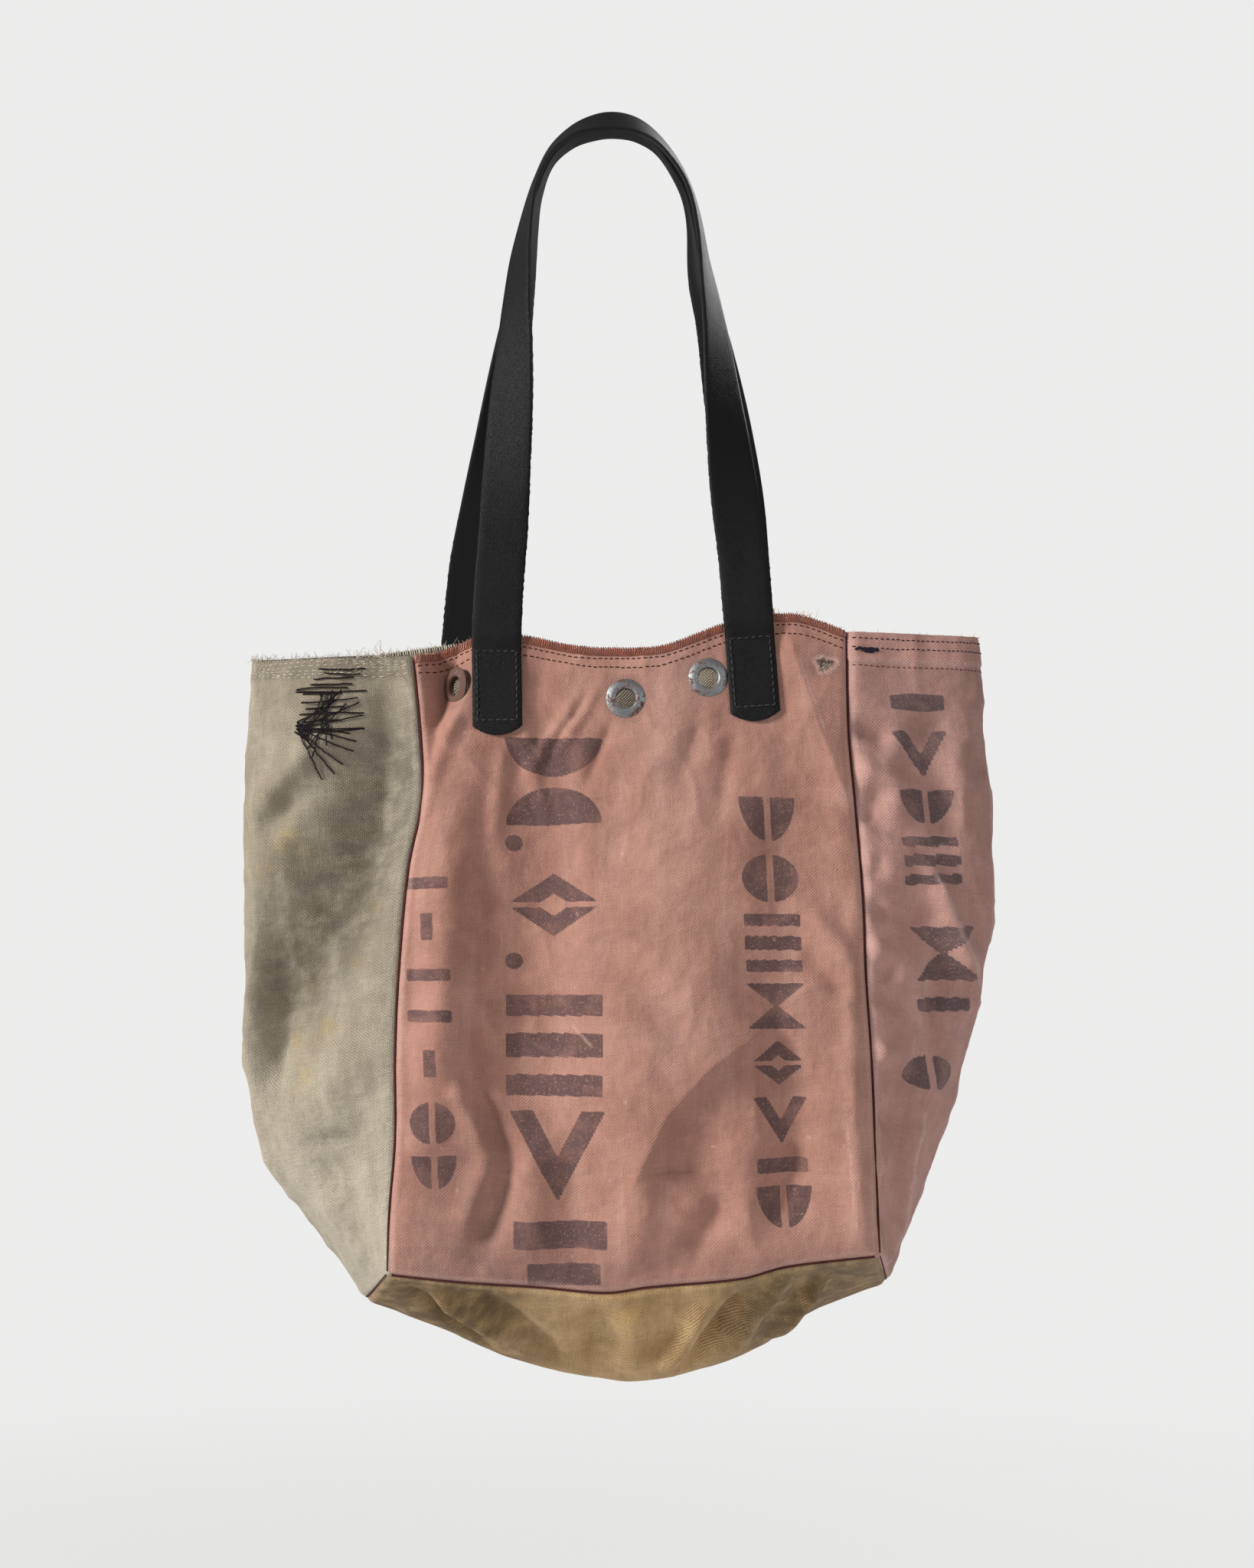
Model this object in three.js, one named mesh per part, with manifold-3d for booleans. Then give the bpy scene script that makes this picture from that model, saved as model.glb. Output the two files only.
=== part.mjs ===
// A tote sewn from mail-sack canvas: five cloth panels, hemmed mouth, two leather handles, three eyelets.
// Millimetres. +Z up, +X to the viewer's right, +Y into the wall. Origin: underside of the handle crown.
import * as THREE from 'three';
import { mergeVertices } from 'three/addons/utils/BufferGeometryUtils.js';
import Module from 'manifold-3d';

const wasm = await Module();
wasm.setup();

// ---- driving dimensions ----
const CLOTH = 1.8; // canvas panel thickness
const HEM = 2.8; // folded hem band thickness
const GAP = 0.3; // running gap between neighbouring pieces
const SEAM_INSET = 1.2; // each panel stops this far short of its seam line
const RIM_HEM = 5.5; // height of the overlocked front and back edges
const GUSSET_HEM = 24; // height of the folded gusset hems
const STRAP_W = 32; // leather strap width
const STRAP_T = 2.8; // leather thickness
const TAB_L = 58; // sewn strap end, top stitch line to rounded end
const TAB_R = 9; // corner radius of the sewn end
const EYELET = { hole: 6.3, barrel: 7.1, flange: 12.2, rise: 1.3 };
const WASHER = { hole: 7.5, flange: 12.0, t: 1.0 };
const FOLD_SOFT = 0.3; // roundness of the gusset fold, 0 is a sharp crease
const KEEL_SOFT = 0.16; // roundness of the bottom crease

// ---- helpers ----
// Catmull-Rom through [t, value...] rows with uneven knots; clamps at the ends.
function spline(rows) {
  const ts = rows.map((r) => r[0]);
  const up = ts[ts.length - 1] > ts[0] ? 1 : -1;
  const slope = (i, k) => {
    const a = Math.max(i - 1, 0);
    const b = Math.min(i + 1, rows.length - 1);
    return (rows[b][k] - rows[a][k]) / (ts[b] - ts[a]);
  };
  return (t) => {
    let i = 0;
    while (i < ts.length - 2 && up * (t - ts[i + 1]) > 0) i += 1;
    const h = ts[i + 1] - ts[i];
    const s = Math.min(Math.max((t - ts[i]) / h, 0), 1);
    const [s2, s3] = [s * s, s * s * s];
    const out = [];
    for (let k = 1; k < rows[0].length; k += 1) {
      out.push((2 * s3 - 3 * s2 + 1) * rows[i][k] + (s3 - 2 * s2 + s) * h * slope(i, k)
        + (3 * s2 - 2 * s3) * rows[i + 1][k] + (s3 - s2) * h * slope(i + 1, k));
    }
    return out.length === 1 ? out[0] : out;
  };
}
const lerp = (a, b, t) => a + (b - a) * t;
const mix3 = (a, b, t) => new THREE.Vector3().lerpVectors(a, b, t);

// Point of a soft fold from A over M to B, u in 0..1; k is the roundness.
function fold(A, M, B, u, k) {
  const w = 2 * u - 1;
  const a = (Math.sqrt(w * w + k * k) - k) / (Math.sqrt(1 + k * k) - k);
  return new THREE.Vector3().addScaledVector(M, 1 - a).addScaledVector(A, a / 2 - w / 2)
    .addScaledVector(B, a / 2 + w / 2);
}

// A closed sheet of thickness t on the surface at(u, v), u and v in 0..1, offset along its normal.
function sheet(at, t, nu, nv, offset = 0) {
  const geo = new THREE.BoxGeometry(1, 1, 1, nu, nv, 1);
  geo.deleteAttribute('uv');
  geo.deleteAttribute('normal');
  const merged = mergeVertices(geo, 1e-4);
  const p = merged.attributes.position;
  const e = 1e-3;
  for (let i = 0; i < p.count; i += 1) {
    const [u, v] = [p.getX(i) + 0.5, 0.5 - p.getY(i)];
    const du = at(Math.min(u + e, 1), v).sub(at(Math.max(u - e, 0), v));
    const dv = at(u, Math.min(v + e, 1)).sub(at(u, Math.max(v - e, 0)));
    const n = dv.cross(du).normalize();
    const q = at(u, v).addScaledVector(n, offset + p.getZ(i) * t);
    p.setXYZ(i, q.x, q.y, q.z);
  }
  return merged;
}

function solid(geo) {
  const g = geo.clone();
  g.deleteAttribute('uv');
  g.deleteAttribute('normal');
  const m = mergeVertices(g, 1e-4);
  return new wasm.Manifold(new wasm.Mesh({
    numProp: 3,
    vertProperties: new Float32Array(m.attributes.position.array),
    triVerts: new Uint32Array(m.index.array),
  }));
}
function geometryOf(manifold) {
  const mesh = manifold.getMesh();
  const g = new THREE.BufferGeometry();
  const p = new Float32Array(mesh.vertProperties.length / mesh.numProp * 3);
  for (let i = 0; i < p.length / 3; i += 1) {
    for (let k = 0; k < 3; k += 1) p[3 * i + k] = mesh.vertProperties[i * mesh.numProp + k];
  }
  g.setAttribute('position', new THREE.BufferAttribute(p, 3));
  g.setIndex(new THREE.BufferAttribute(new Uint32Array(mesh.triVerts), 1));
  return g;
}

// ---- the bag's surfaces ----
// How far the front and back panels stand off, by height, and a bulge across their width.
const frontDepth = spline([[-320, -41], [-345, -44], [-400, -54], [-441, -62], [-486, -70], [-555, -77],
  [-606, -80], [-658, -81], [-709, -80], [-760, -76]]);
const backDepth = spline([[-320, 49], [-345, 50], [-450, 55], [-600, 58], [-700, 57], [-770, 52]]);
const frontY = (x, z) => frontDepth(z) - 5 * Math.max(0, 1 - ((x - 10) / 155) ** 2);
const backY = (x, z) => backDepth(z) + 3 * Math.max(0, 1 - (x / 165) ** 2);

// Seam lines: x by height.
const frontLeftX = spline([[-350, -132], [-400, -126.5], [-441, -124.5], [-486, -133], [-555, -139],
  [-606, -141], [-658, -141], [-709, -145], [-746, -146]]);
const frontRightX = spline([[-334, 149.5], [-400, 150], [-445, 153.5], [-507, 158], [-555, 159.5],
  [-610, 163], [-676, 165.5], [-734, 168]]);
const backLeftX = spline([[-345, -163], [-450, -165], [-600, -164], [-700, -158], [-757, -154]]);
const backRightX = spline([[-338, 157], [-450, 163], [-600, 168], [-700, 168], [-748, 167]]);

// Mouth and bottom-seam lines: height by x.
const frontRimZ = spline([[-132, -350], [-94, -338], [-61, -337], [-25, -344], [-3, -345], [30, -343.5],
  [71, -328.5], [102, -323], [122, -324], [149.5, -334]]);
const backRimZ = spline([[-163, -345], [-104, -338], [-60, -340], [0, -344], [50, -340], [92, -332],
  [157, -338]]);
const frontBaseZ = spline([[-146, -746], [-100, -750.5], [-49, -753.5], [-6, -757], [20, -753.5], [80, -748],
  [109, -740.5], [168, -734]]);
const backBaseZ = spline([[-154, -757], [-60, -764], [20, -766], [90, -760], [167, -748]]);

// Gusset folds: x and y by height. Bottom crease: y and z by x.
const leftFold = spline([[-352, -236, -22], [-427, -241, -28], [-453, -243, -30], [-524, -241, -33],
  [-605, -243, -33], [-676, -229, -26], [-719, -205, -18], [-747, -182, -11], [-773, -166, -6]]);
const rightFold = spline([[-337, 235.5, -20], [-396, 239.5, -25], [-452, 243, -30], [-505, 244.5, -33],
  [-540, 241.5, -32], [-594, 232.5, -28], [-665, 211.5, -20], [-722, 192, -13], [-761, 178, -8]]);
const keel = spline([[-166, -6, -773], [-123, -5, -789], [-87, -5, -805], [-51, -5, -817], [-15, -5, -825],
  [13, -5, -827], [42, -5, -823], [92, -6, -805], [130, -7, -780], [178, -8, -761]]);

const onFront = (x, z) => new THREE.Vector3(x, frontY(x, z), z);
const onBack = (x, z) => new THREE.Vector3(x, backY(x, z), z);

// A wall between two seams: u runs left to right, v from the mouth down to the base.
function wall(leftX, rightX, rimZ, baseZ, ends, on) {
  const [rimL, rimR, baseL, baseR] = ends;
  return (u, v) => {
    const xt = lerp(rimL, rimR, u);
    const xb = lerp(baseL, baseR, u);
    const z = lerp(rimZ(xt), baseZ(xb), v);
    const zl = lerp(rimZ(rimL), baseZ(baseL), v);
    const zr = lerp(rimZ(rimR), baseZ(baseR), v);
    return on(lerp(leftX(zl), rightX(zr), u), z);
  };
}
const frontWall = wall(frontLeftX, frontRightX, frontRimZ, frontBaseZ, [-132, 149.5, -146, 168], onFront);
const backWall = wall(backLeftX, backRightX, backRimZ, backBaseZ, [-163, 157, -154, 167], onBack);

// A gusset: u runs from the front seam to the back seam, v from the mouth down.
function gusset(frontEdge, backEdge, foldLine, zTop, zBase) {
  return (u, v) => {
    const z = lerp(zTop, zBase, v);
    const [mx, my] = foldLine(z);
    return fold(frontEdge(v), new THREE.Vector3(mx, my, z), backEdge(v), u, FOLD_SOFT);
  };
}
const leftGusset = gusset((v) => frontWall(0, v), (v) => backWall(0, v), leftFold, -352, -773);
const rightGusset = gusset((v) => frontWall(1, v), (v) => backWall(1, v), rightFold, -337, -761);

// The bottom: u runs left to right, v from the front seam to the back seam.
const bottom = (u, v) => {
  const x = lerp(-166, 178, u);
  const [ky, kz] = keel(x);
  const edge = 1 - Math.min(1, Math.min(u, 1 - u) / 0.18);
  return fold(frontWall(u, 1), new THREE.Vector3(x, ky, kz), backWall(u, 1), v,
    lerp(KEEL_SOFT, FOLD_SOFT, edge));
};

// Part of a surface, from u0 to u1 and v0 to v1.
const part = (at, u0, u1, v0, v1) => (u, v) => at(lerp(u0, u1, u), lerp(v0, v1, v));
// The same, stopped short of the seams by d mm, and of the mouth by m mm.
function inset(at, d, m, mouthEdge = true) {
  const w = at(0, 0.5).distanceTo(at(0.5, 0.5)) + at(0.5, 0.5).distanceTo(at(1, 0.5));
  const h = at(0.5, 0).distanceTo(at(0.5, 0.5)) + at(0.5, 0.5).distanceTo(at(0.5, 1));
  return part(at, d / w, 1 - d / w, (mouthEdge ? m : d) / h, 1 - d / h);
}
// A band along the mouth, from a to b mm below it.
function mouthBand(at, d, a, b) {
  const w = at(0, 0.5).distanceTo(at(0.5, 0.5)) + at(0.5, 0.5).distanceTo(at(1, 0.5));
  const h = at(0.5, 0).distanceTo(at(0.5, 0.5)) + at(0.5, 0.5).distanceTo(at(0.5, 1));
  return part(at, d / w, 1 - d / w, a / h, b / h);
}

// ---- pieces ----
const group = new THREE.Group();
function add(name, geometry, colour, roughness, metalness = 0) {
  const material = new THREE.MeshStandardMaterial({ color: colour, roughness, metalness });
  const mesh = new THREE.Mesh(geometry, material);
  mesh.name = name;
  group.add(mesh);
}
const PINK = 0xb9806c;
const PINK_EDGE = 0xa5583c;
const BEIGE = 0x9a907a;
const CREAM = 0xb5aa92;
const GOLD = 0x86693f;
const LEATHER = 0x17161a;
const STEEL = 0x9a9a9c;

// Turns a surface over, so that its sheet faces out of the bag.
const flip = (at) => (u, v) => at(1 - u, v);

// Eyelet places on the front wall, x and z, with the wall's normal there.
function frontNormal(x, z) {
  const dx = onFront(x + 1, z).sub(onFront(x - 1, z));
  const dz = onFront(x, z + 1).sub(onFront(x, z - 1));
  return dx.cross(dz).normalize();
}
const eyeletPlaces = [[-107, -369.5], [5.5, -377.5], [58.8, -364]].map(([x, z]) => {
  const at = onFront(x, z);
  const out = frontNormal(x, z);
  const turn = new THREE.Matrix4().makeRotationFromQuaternion(
    new THREE.Quaternion().setFromUnitVectors(new THREE.Vector3(0, 1, 0), out));
  return turn.setPosition(at);
});

// Front and back walls, with the eyelet holes cut through the front.
const holeCutter = new THREE.CylinderGeometry(EYELET.barrel + GAP, EYELET.barrel + GAP, 12, 24);
let front = solid(sheet(inset(frontWall, SEAM_INSET, RIM_HEM + GAP), CLOTH, 16, 14));
for (const place of eyeletPlaces) front = front.subtract(solid(holeCutter.clone().applyMatrix4(place)));
add('front_panel', geometryOf(front), PINK, 0.95);
add('front_rim_edging', sheet(mouthBand(frontWall, SEAM_INSET, 0, RIM_HEM), HEM, 16, 1), PINK_EDGE, 0.95);
add('back_panel', sheet(inset(flip(backWall), SEAM_INSET, RIM_HEM + GAP), CLOTH, 14, 12), BEIGE, 0.95);
add('back_rim_edging', sheet(mouthBand(flip(backWall), SEAM_INSET, 0, RIM_HEM), HEM, 14, 1), CREAM, 0.95);
add('left_gusset', sheet(inset(flip(leftGusset), SEAM_INSET, GUSSET_HEM + GAP), CLOTH, 14, 12), BEIGE, 0.95);
add('left_gusset_hem', sheet(mouthBand(flip(leftGusset), SEAM_INSET, 0, GUSSET_HEM), HEM, 14, 2), CREAM, 0.95);
add('right_gusset', sheet(inset(rightGusset, SEAM_INSET, GUSSET_HEM + GAP), CLOTH, 14, 12), PINK, 0.95);
add('right_gusset_hem', sheet(mouthBand(rightGusset, SEAM_INSET, 0, GUSSET_HEM), HEM, 14, 2), PINK, 0.95);
add('bottom_panel', sheet(inset(bottom, SEAM_INSET, SEAM_INSET, false), CLOTH, 16, 10), GOLD, 0.95);

// Eyelets: a flanged barrel from the front and a flat washer behind the cloth.
const half = CLOTH / 2 + GAP;
const eyeletProfile = [[EYELET.hole, -half - WASHER.t - 0.6], [EYELET.barrel, -half - WASHER.t - 0.6],
  [EYELET.barrel, half], [EYELET.flange, half], [EYELET.flange - 0.9, half + 0.8],
  [EYELET.flange - 2.6, half + EYELET.rise], [EYELET.hole + 1.2, half + EYELET.rise],
  [EYELET.hole, half + 0.5], [EYELET.hole, -half - WASHER.t - 0.6]];
const washerProfile = [[WASHER.hole, -half - WASHER.t], [WASHER.flange, -half - WASHER.t],
  [WASHER.flange, -half], [WASHER.hole, -half], [WASHER.hole, -half - WASHER.t]];
const lathe = (profile, n) => new THREE.LatheGeometry(profile.map(([r, y]) => new THREE.Vector2(r, y)), n);
const sides = ['left', 'middle', 'right'];
eyeletPlaces.forEach((place, i) => {
  for (const [what, profile] of [['eyelet', eyeletProfile], ['eyelet_washer', washerProfile]]) {
    const ring = solid(lathe(profile, 20));
    add(`${sides[i]}_${what}`, geometryOf(ring).applyMatrix4(place), STEEL, 0.45, 0.9);
  }
});

// Sewn strap ends: a leather strip with a rounded end, lying on the wall. lean is its sideways run.
const TABS = {
  front_left_tab: { x: -77.5, z: -343, lean: 0.02, on: onFront, side: -1 },
  front_right_tab: { x: 86, z: -334, lean: 0.07, on: onFront, side: -1 },
  back_left_tab: { x: -104, z: -345, lean: -0.04, on: onBack, side: 1 },
  back_right_tab: { x: 92, z: -339, lean: 0.04, on: onBack, side: 1 },
};
const STAND_OFF = HEM / 2 + GAP + STRAP_T / 2;
function tabHalfWidth(d) {
  const left = TAB_L - d;
  if (left >= TAB_R) return STRAP_W / 2;
  return STRAP_W / 2 - TAB_R + Math.sqrt(Math.max(TAB_R ** 2 - (TAB_R - left) ** 2, 0));
}
for (const [name, t] of Object.entries(TABS)) {
  const rows = [0, 8, 18, 28, 38, 49, 51.5, 54, 56, 57.3, TAB_L];
  const atRow = spline(rows.map((d, i) => [i / (rows.length - 1), d]));
  const surface = (u, v) => {
    const d = atRow(v);
    const across = (u - 0.5) * 2 * tabHalfWidth(d) * -t.side;
    return t.on(t.x + across + t.lean * d, t.z - d);
  };
  add(name, sheet(surface, STRAP_T, 4, rows.length - 1, STAND_OFF), LEATHER, 0.5);
}

// Straps: centre line x, y, z, then the bearing of the width and its tilt in degrees.
const FRONT_STRAP = [
  [-77.5, -50.6, -341.2, 180, 0], [-77.3, -50.8, -333, 180, 0], [-76.3, -45, -306, 180, 0], [-73.5, -38.5, -267, 178, 0],
  [-71.5, -34.5, -228, 166, 0], [-69.2, -31.5, -189, 155, 0], [-66.8, -29, -150, 138, 0],
  [-65.6, -27, -121, 126, 2], [-62.8, -25, -85, 113, 5], [-58.4, -23, -58, 101, 9],
  [-52.6, -21.5, -36, 94, 13], [-42.5, -20.5, -16.5, 91, 18], [-28, -20, -4, 90, 24],
  [-12, -19.5, 1.6, 90, 28], [1, -19.5, 2.2, 90, 29], [14, -19.5, -1.2, 90, 27],
  [27, -20, -10, 90, 22], [38.6, -21, -24, 88, 16], [47.2, -22, -40, 86, 11],
  [53, -23.5, -60, 84, 6], [57.6, -25, -89, 78, 3], [62.6, -27.5, -120, 66, 0],
  [65.6, -29.5, -142, 58, 0], [69.4, -32, -178, 44, 0], [73, -34.5, -210, 29, 0],
  [78.2, -37.5, -254, 8, 0], [82, -42, -285, 2, 0],
  [85.2, -50.2, -323, 0, 0], [86, -50.3, -332.2, 0, 0],
];
const BACK_STRAP = [
  [-104, 55.5, -343.4, 0, 0], [-103.4, 55.9, -335, 0, 0], [-101, 52, -312, 0, 0], [-97, 46, -281, 2, 0], [-89.5, 40, -245, 8, 0],
  [-79.5, 33, -196, 24, 0], [-70.6, 27.5, -143, 46, 0], [-62.4, 23.5, -95, 66, 0], [-56, 21, -58, 80, 0],
  [-50.6, 19.8, -38, 87, 0], [-41, 19.2, -18, 90, 0], [-28, 19, -6, 90, 0], [-13, 19, -0.2, 90, 0],
  [0, 19, 1.4, 90, 0], [13, 19, -0.8, 90, 0], [26, 19, -8.4, 90, 0], [37.6, 19.2, -22, 90, 0],
  [45.6, 20, -38, 92, 0], [50, 21, -58, 96, 0], [53.6, 23.5, -93, 106, 0], [63, 26, -125, 122, 0],
  [70, 29.5, -160, 138, 0], [77, 34, -200, 156, 0], [84, 40, -245, 172, 0], [88, 48.5, -288, 178, 0],
  [91.6, 55.9, -328, 180, 0], [92, 55.7, -337.4, 180, 0],
];
function strap(stations) {
  const path = spline(stations.map((s, i) => [i, ...s]));
  const last = stations.length - 1;
  return (u, v) => {
    const t = v * last;
    const [x, y, z, bearing, tilt] = path(t);
    const a = THREE.MathUtils.degToRad(bearing);
    const e = THREE.MathUtils.degToRad(tilt);
    const [p, q] = [path(Math.max(t - 0.05, 0)), path(Math.min(t + 0.05, last))];
    const along = new THREE.Vector3(q[0] - p[0], q[1] - p[1], q[2] - p[2]).normalize();
    const w = new THREE.Vector3(Math.cos(a) * Math.cos(e), Math.sin(a) * Math.cos(e), Math.sin(e));
    w.addScaledVector(along, -w.dot(along)).normalize();
    return new THREE.Vector3(x, y, z).addScaledVector(w, (u - 0.5) * STRAP_W);
  };
}
add('front_handle_strap', sheet(strap(FRONT_STRAP), STRAP_T, 2, 46), LEATHER, 0.5);
add('back_handle_strap', sheet(strap(BACK_STRAP), STRAP_T, 2, 46), LEATHER, 0.5);

export default group;
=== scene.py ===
"""Looks for the canvas tote: sewn cloth panels, looped leather handles, eyelets, stitching and darning.
All shapes are worked out in millimetres in the CAD frame and stored in metres."""

import math

import bmesh
import bpy
import numpy as np
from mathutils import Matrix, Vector
from mathutils.bvhtree import BVHTree


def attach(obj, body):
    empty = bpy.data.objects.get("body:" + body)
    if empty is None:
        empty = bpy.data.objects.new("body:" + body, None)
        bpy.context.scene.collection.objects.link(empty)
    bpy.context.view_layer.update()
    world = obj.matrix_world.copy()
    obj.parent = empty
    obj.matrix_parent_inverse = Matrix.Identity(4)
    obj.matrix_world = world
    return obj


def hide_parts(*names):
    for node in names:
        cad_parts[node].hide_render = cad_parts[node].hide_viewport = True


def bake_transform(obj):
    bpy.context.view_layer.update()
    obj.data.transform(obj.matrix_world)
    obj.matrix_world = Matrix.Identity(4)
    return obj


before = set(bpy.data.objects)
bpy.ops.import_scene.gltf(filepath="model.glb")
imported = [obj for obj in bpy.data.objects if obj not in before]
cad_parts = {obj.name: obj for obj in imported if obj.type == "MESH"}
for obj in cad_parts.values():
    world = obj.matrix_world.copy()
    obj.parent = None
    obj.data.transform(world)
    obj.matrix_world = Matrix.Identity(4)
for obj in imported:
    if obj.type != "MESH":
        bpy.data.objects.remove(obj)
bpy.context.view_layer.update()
MM = 0.001

# ---------------------------------------------------------------- camera and light
CAMERA_AT = (0.0069, -1.990, -0.4327)
FRAME_HEIGHT_AT = (1.0035, 1.920)  # the view is this tall at this distance
SENSOR = 36
scene = bpy.context.scene
cam = bpy.data.objects.new("camera", bpy.data.cameras.new("camera"))
cam.data.sensor_fit = "VERTICAL"
cam.data.sensor_height = SENSOR
cam.data.lens = SENSOR * FRAME_HEIGHT_AT[1] / FRAME_HEIGHT_AT[0]
cam.data.clip_end = 50
cam.location = CAMERA_AT
cam.rotation_euler = (math.radians(90), 0, 0)
scene.collection.objects.link(cam)
scene.camera = cam
scene.view_settings.view_transform = "Standard"

MIDDLE = Vector((0, 0, -0.5))  # the lights aim here


def area_light(name, place, size, power, colour=(1, 1, 1)):
    data = bpy.data.lights.new(name, "AREA")
    data.shape, data.size, data.energy, data.color = "DISK", size, power, colour
    ob = bpy.data.objects.new(name, data)
    ob.location = place
    ob.rotation_euler = (MIDDLE - Vector(place)).to_track_quat("-Z", "Y").to_euler()
    scene.collection.objects.link(ob)


area_light("key", (-4.1, -1.9, 1.25), 1.3, 262, (1, 0.985, 0.965))
area_light("fill", (1.9, -2.2, 0.1), 2.4, 20, (0.95, 0.975, 1))
area_light("back", (1.3, 2.0, 0.9), 1.6, 27)
world = bpy.data.worlds.new("world")
world.use_nodes = True
BACKDROP, AMBIENT = (0.84, 0.84, 0.835, 1), (0.23, 0.23, 0.233, 1)  # what is seen, and what lights the bag
sky = world.node_tree
seen_or_lit = sky.nodes.new("ShaderNodeMix")
seen_or_lit.data_type = "RGBA"
seen_or_lit.inputs[6].default_value = AMBIENT
seen_or_lit.inputs[7].default_value = BACKDROP
sky.links.new(sky.nodes.new("ShaderNodeLightPath").outputs["Is Camera Ray"], seen_or_lit.inputs[0])
sky.links.new(seen_or_lit.outputs[2], sky.nodes["Background"].inputs["Color"])
scene.world = world

# ---------------------------------------------------------------- curves and fields
def bell(x, width):
    return np.exp(-((x / width) ** 2))


def blot(p, q, p0, q0, area):
    return np.exp(-((p - p0) ** 2 + (q - q0) ** 2) / area)


def legs(line):
    """The straight legs of a polyline."""
    return zip(line, line[1:])


def spline(rows):
    """Catmull-Rom through [t, value...] rows with uneven knots, clamped at the ends, for arrays."""
    r = np.array(rows, float)
    if r[-1, 0] < r[0, 0]:
        r = r[::-1]
    t, y = r[:, 0], r[:, 1:]
    lo = np.maximum(np.arange(len(t)) - 1, 0)
    hi = np.minimum(np.arange(len(t)) + 1, len(t) - 1)
    m = (y[hi] - y[lo]) / (t[hi] - t[lo])[:, None]

    def f(x):
        x = np.asarray(x, float)
        i = np.clip(np.searchsorted(t, x, side="right") - 1, 0, len(t) - 2)
        h = t[i + 1] - t[i]
        s = np.clip((x - t[i]) / h, 0, 1)[..., None]
        h = h[..., None]
        out = ((2 * s**3 - 3 * s**2 + 1) * y[i] + (s**3 - 2 * s**2 + s) * h * m[i]
               + (3 * s**2 - 2 * s**3) * y[i + 1] + (s**3 - s**2) * h * m[i + 1])
        return out[..., 0] if out.shape[-1] == 1 else out

    return f


def smooth(a, b, x):
    t = np.clip((x - a) / (b - a), 0, 1)
    return t * t * (3 - 2 * t)


def lerp(a, b, t):
    return a + (b - a) * t


def along(p, q, a, b):
    """Where points (p, q) are from the segment a-b: how far, how far to its left, and how far along it, as a
    share and in mm."""
    ab = np.subtract(b, a)
    length = np.hypot(*ab)
    d = ab / length
    s = (p - a[0]) * d[0] + (q - a[1]) * d[1]
    side = (p - a[0]) * -d[1] + (q - a[1]) * d[0]
    sc = np.clip(s, 0, length)
    dist = np.hypot(p - a[0] - sc * d[0], q - a[1] - sc * d[1])
    return dist, side, sc / length, s


def ridge(p, q, a, b, width, amp):
    """A soft ridge of height amp along a-b, fading over its last quarter at each end."""
    dist, _, share, _ = along(p, q, a, b)
    fade = smooth(0, 0.25, share) * smooth(0, 0.25, 1 - share)
    return amp * bell(dist, width) * (0.35 + 0.65 * fade)


def folds(p, q, rows):
    """Ridges added up, each a row of top, bottom, half width and height."""
    return sum(ridge(p, q, *row) for row in rows)


def ramp(p, q, a, b, near, far, amp):
    """A sharp edge along a-b: amp at the line, dying away over near on its left and far on its right."""
    _, side, _, s = along(p, q, a, b)
    length = np.hypot(b[0] - a[0], b[1] - a[1])
    ends = smooth(-12, 12, s) * smooth(-12, 12, length - s)
    return amp * ends * np.where(side > 0, np.exp(-side / near), np.exp(side / far))


def waves(p, q, size, amp, seed, n=9):
    """Soft random undulation, about size mm across."""
    g = np.random.default_rng(seed)
    out = 0
    for _ in range(n):
        a, wl, ph = g.uniform(0, math.pi), size * g.uniform(0.7, 1.7), g.uniform(0, 2 * math.pi)
        out = out + np.sin(2 * math.pi * (p * math.cos(a) + q * math.sin(a)) / wl + ph)
    return amp * out / math.sqrt(n)


def wrinkle(p, q, size, amp, seed, sharp=2.5):
    """Fine creases of worn cloth: the level lines of a seeded value noise, size mm apart."""
    table = np.random.default_rng(seed).uniform(0, 1, (64, 64))
    a, b = p / size + 20, q / size + 20
    i, j = np.floor(a).astype(int), np.floor(b).astype(int)
    s, t = smooth(0, 1, a - i), smooth(0, 1, b - j)
    i, j = i % 63, j % 63
    value = lerp(lerp(table[i, j], table[i + 1, j], s), lerp(table[i, j + 1], table[i + 1, j + 1], s), t)
    return amp * (1 - abs(2 * value - 1)) ** sharp


def crumple(p, q, *rows):
    """Two scales of undulation and two of creases, as rows of size, height and seed."""
    return waves(p, q, *rows[0]) + waves(p, q, *rows[1]) + wrinkle(p, q, *rows[2]) + wrinkle(p, q, *rows[3])


# ---------------------------------------------------------------- the bag's surfaces, as in the CAD
FOLD_SOFT, KEEL_SOFT = 0.3, 0.16
front_depth = spline([[-320, -41], [-345, -44], [-400, -54], [-441, -62], [-486, -70], [-555, -77],
                      [-606, -80], [-658, -81], [-709, -80], [-760, -76]])
back_depth = spline([[-320, 49], [-345, 50], [-450, 55], [-600, 58], [-700, 57], [-770, 52]])


def front_y(x, z):
    return front_depth(z) - 5 * np.maximum(0, 1 - ((x - 10) / 155) ** 2)


def back_y(x, z):
    return back_depth(z) + 3 * np.maximum(0, 1 - (x / 165) ** 2)


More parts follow.
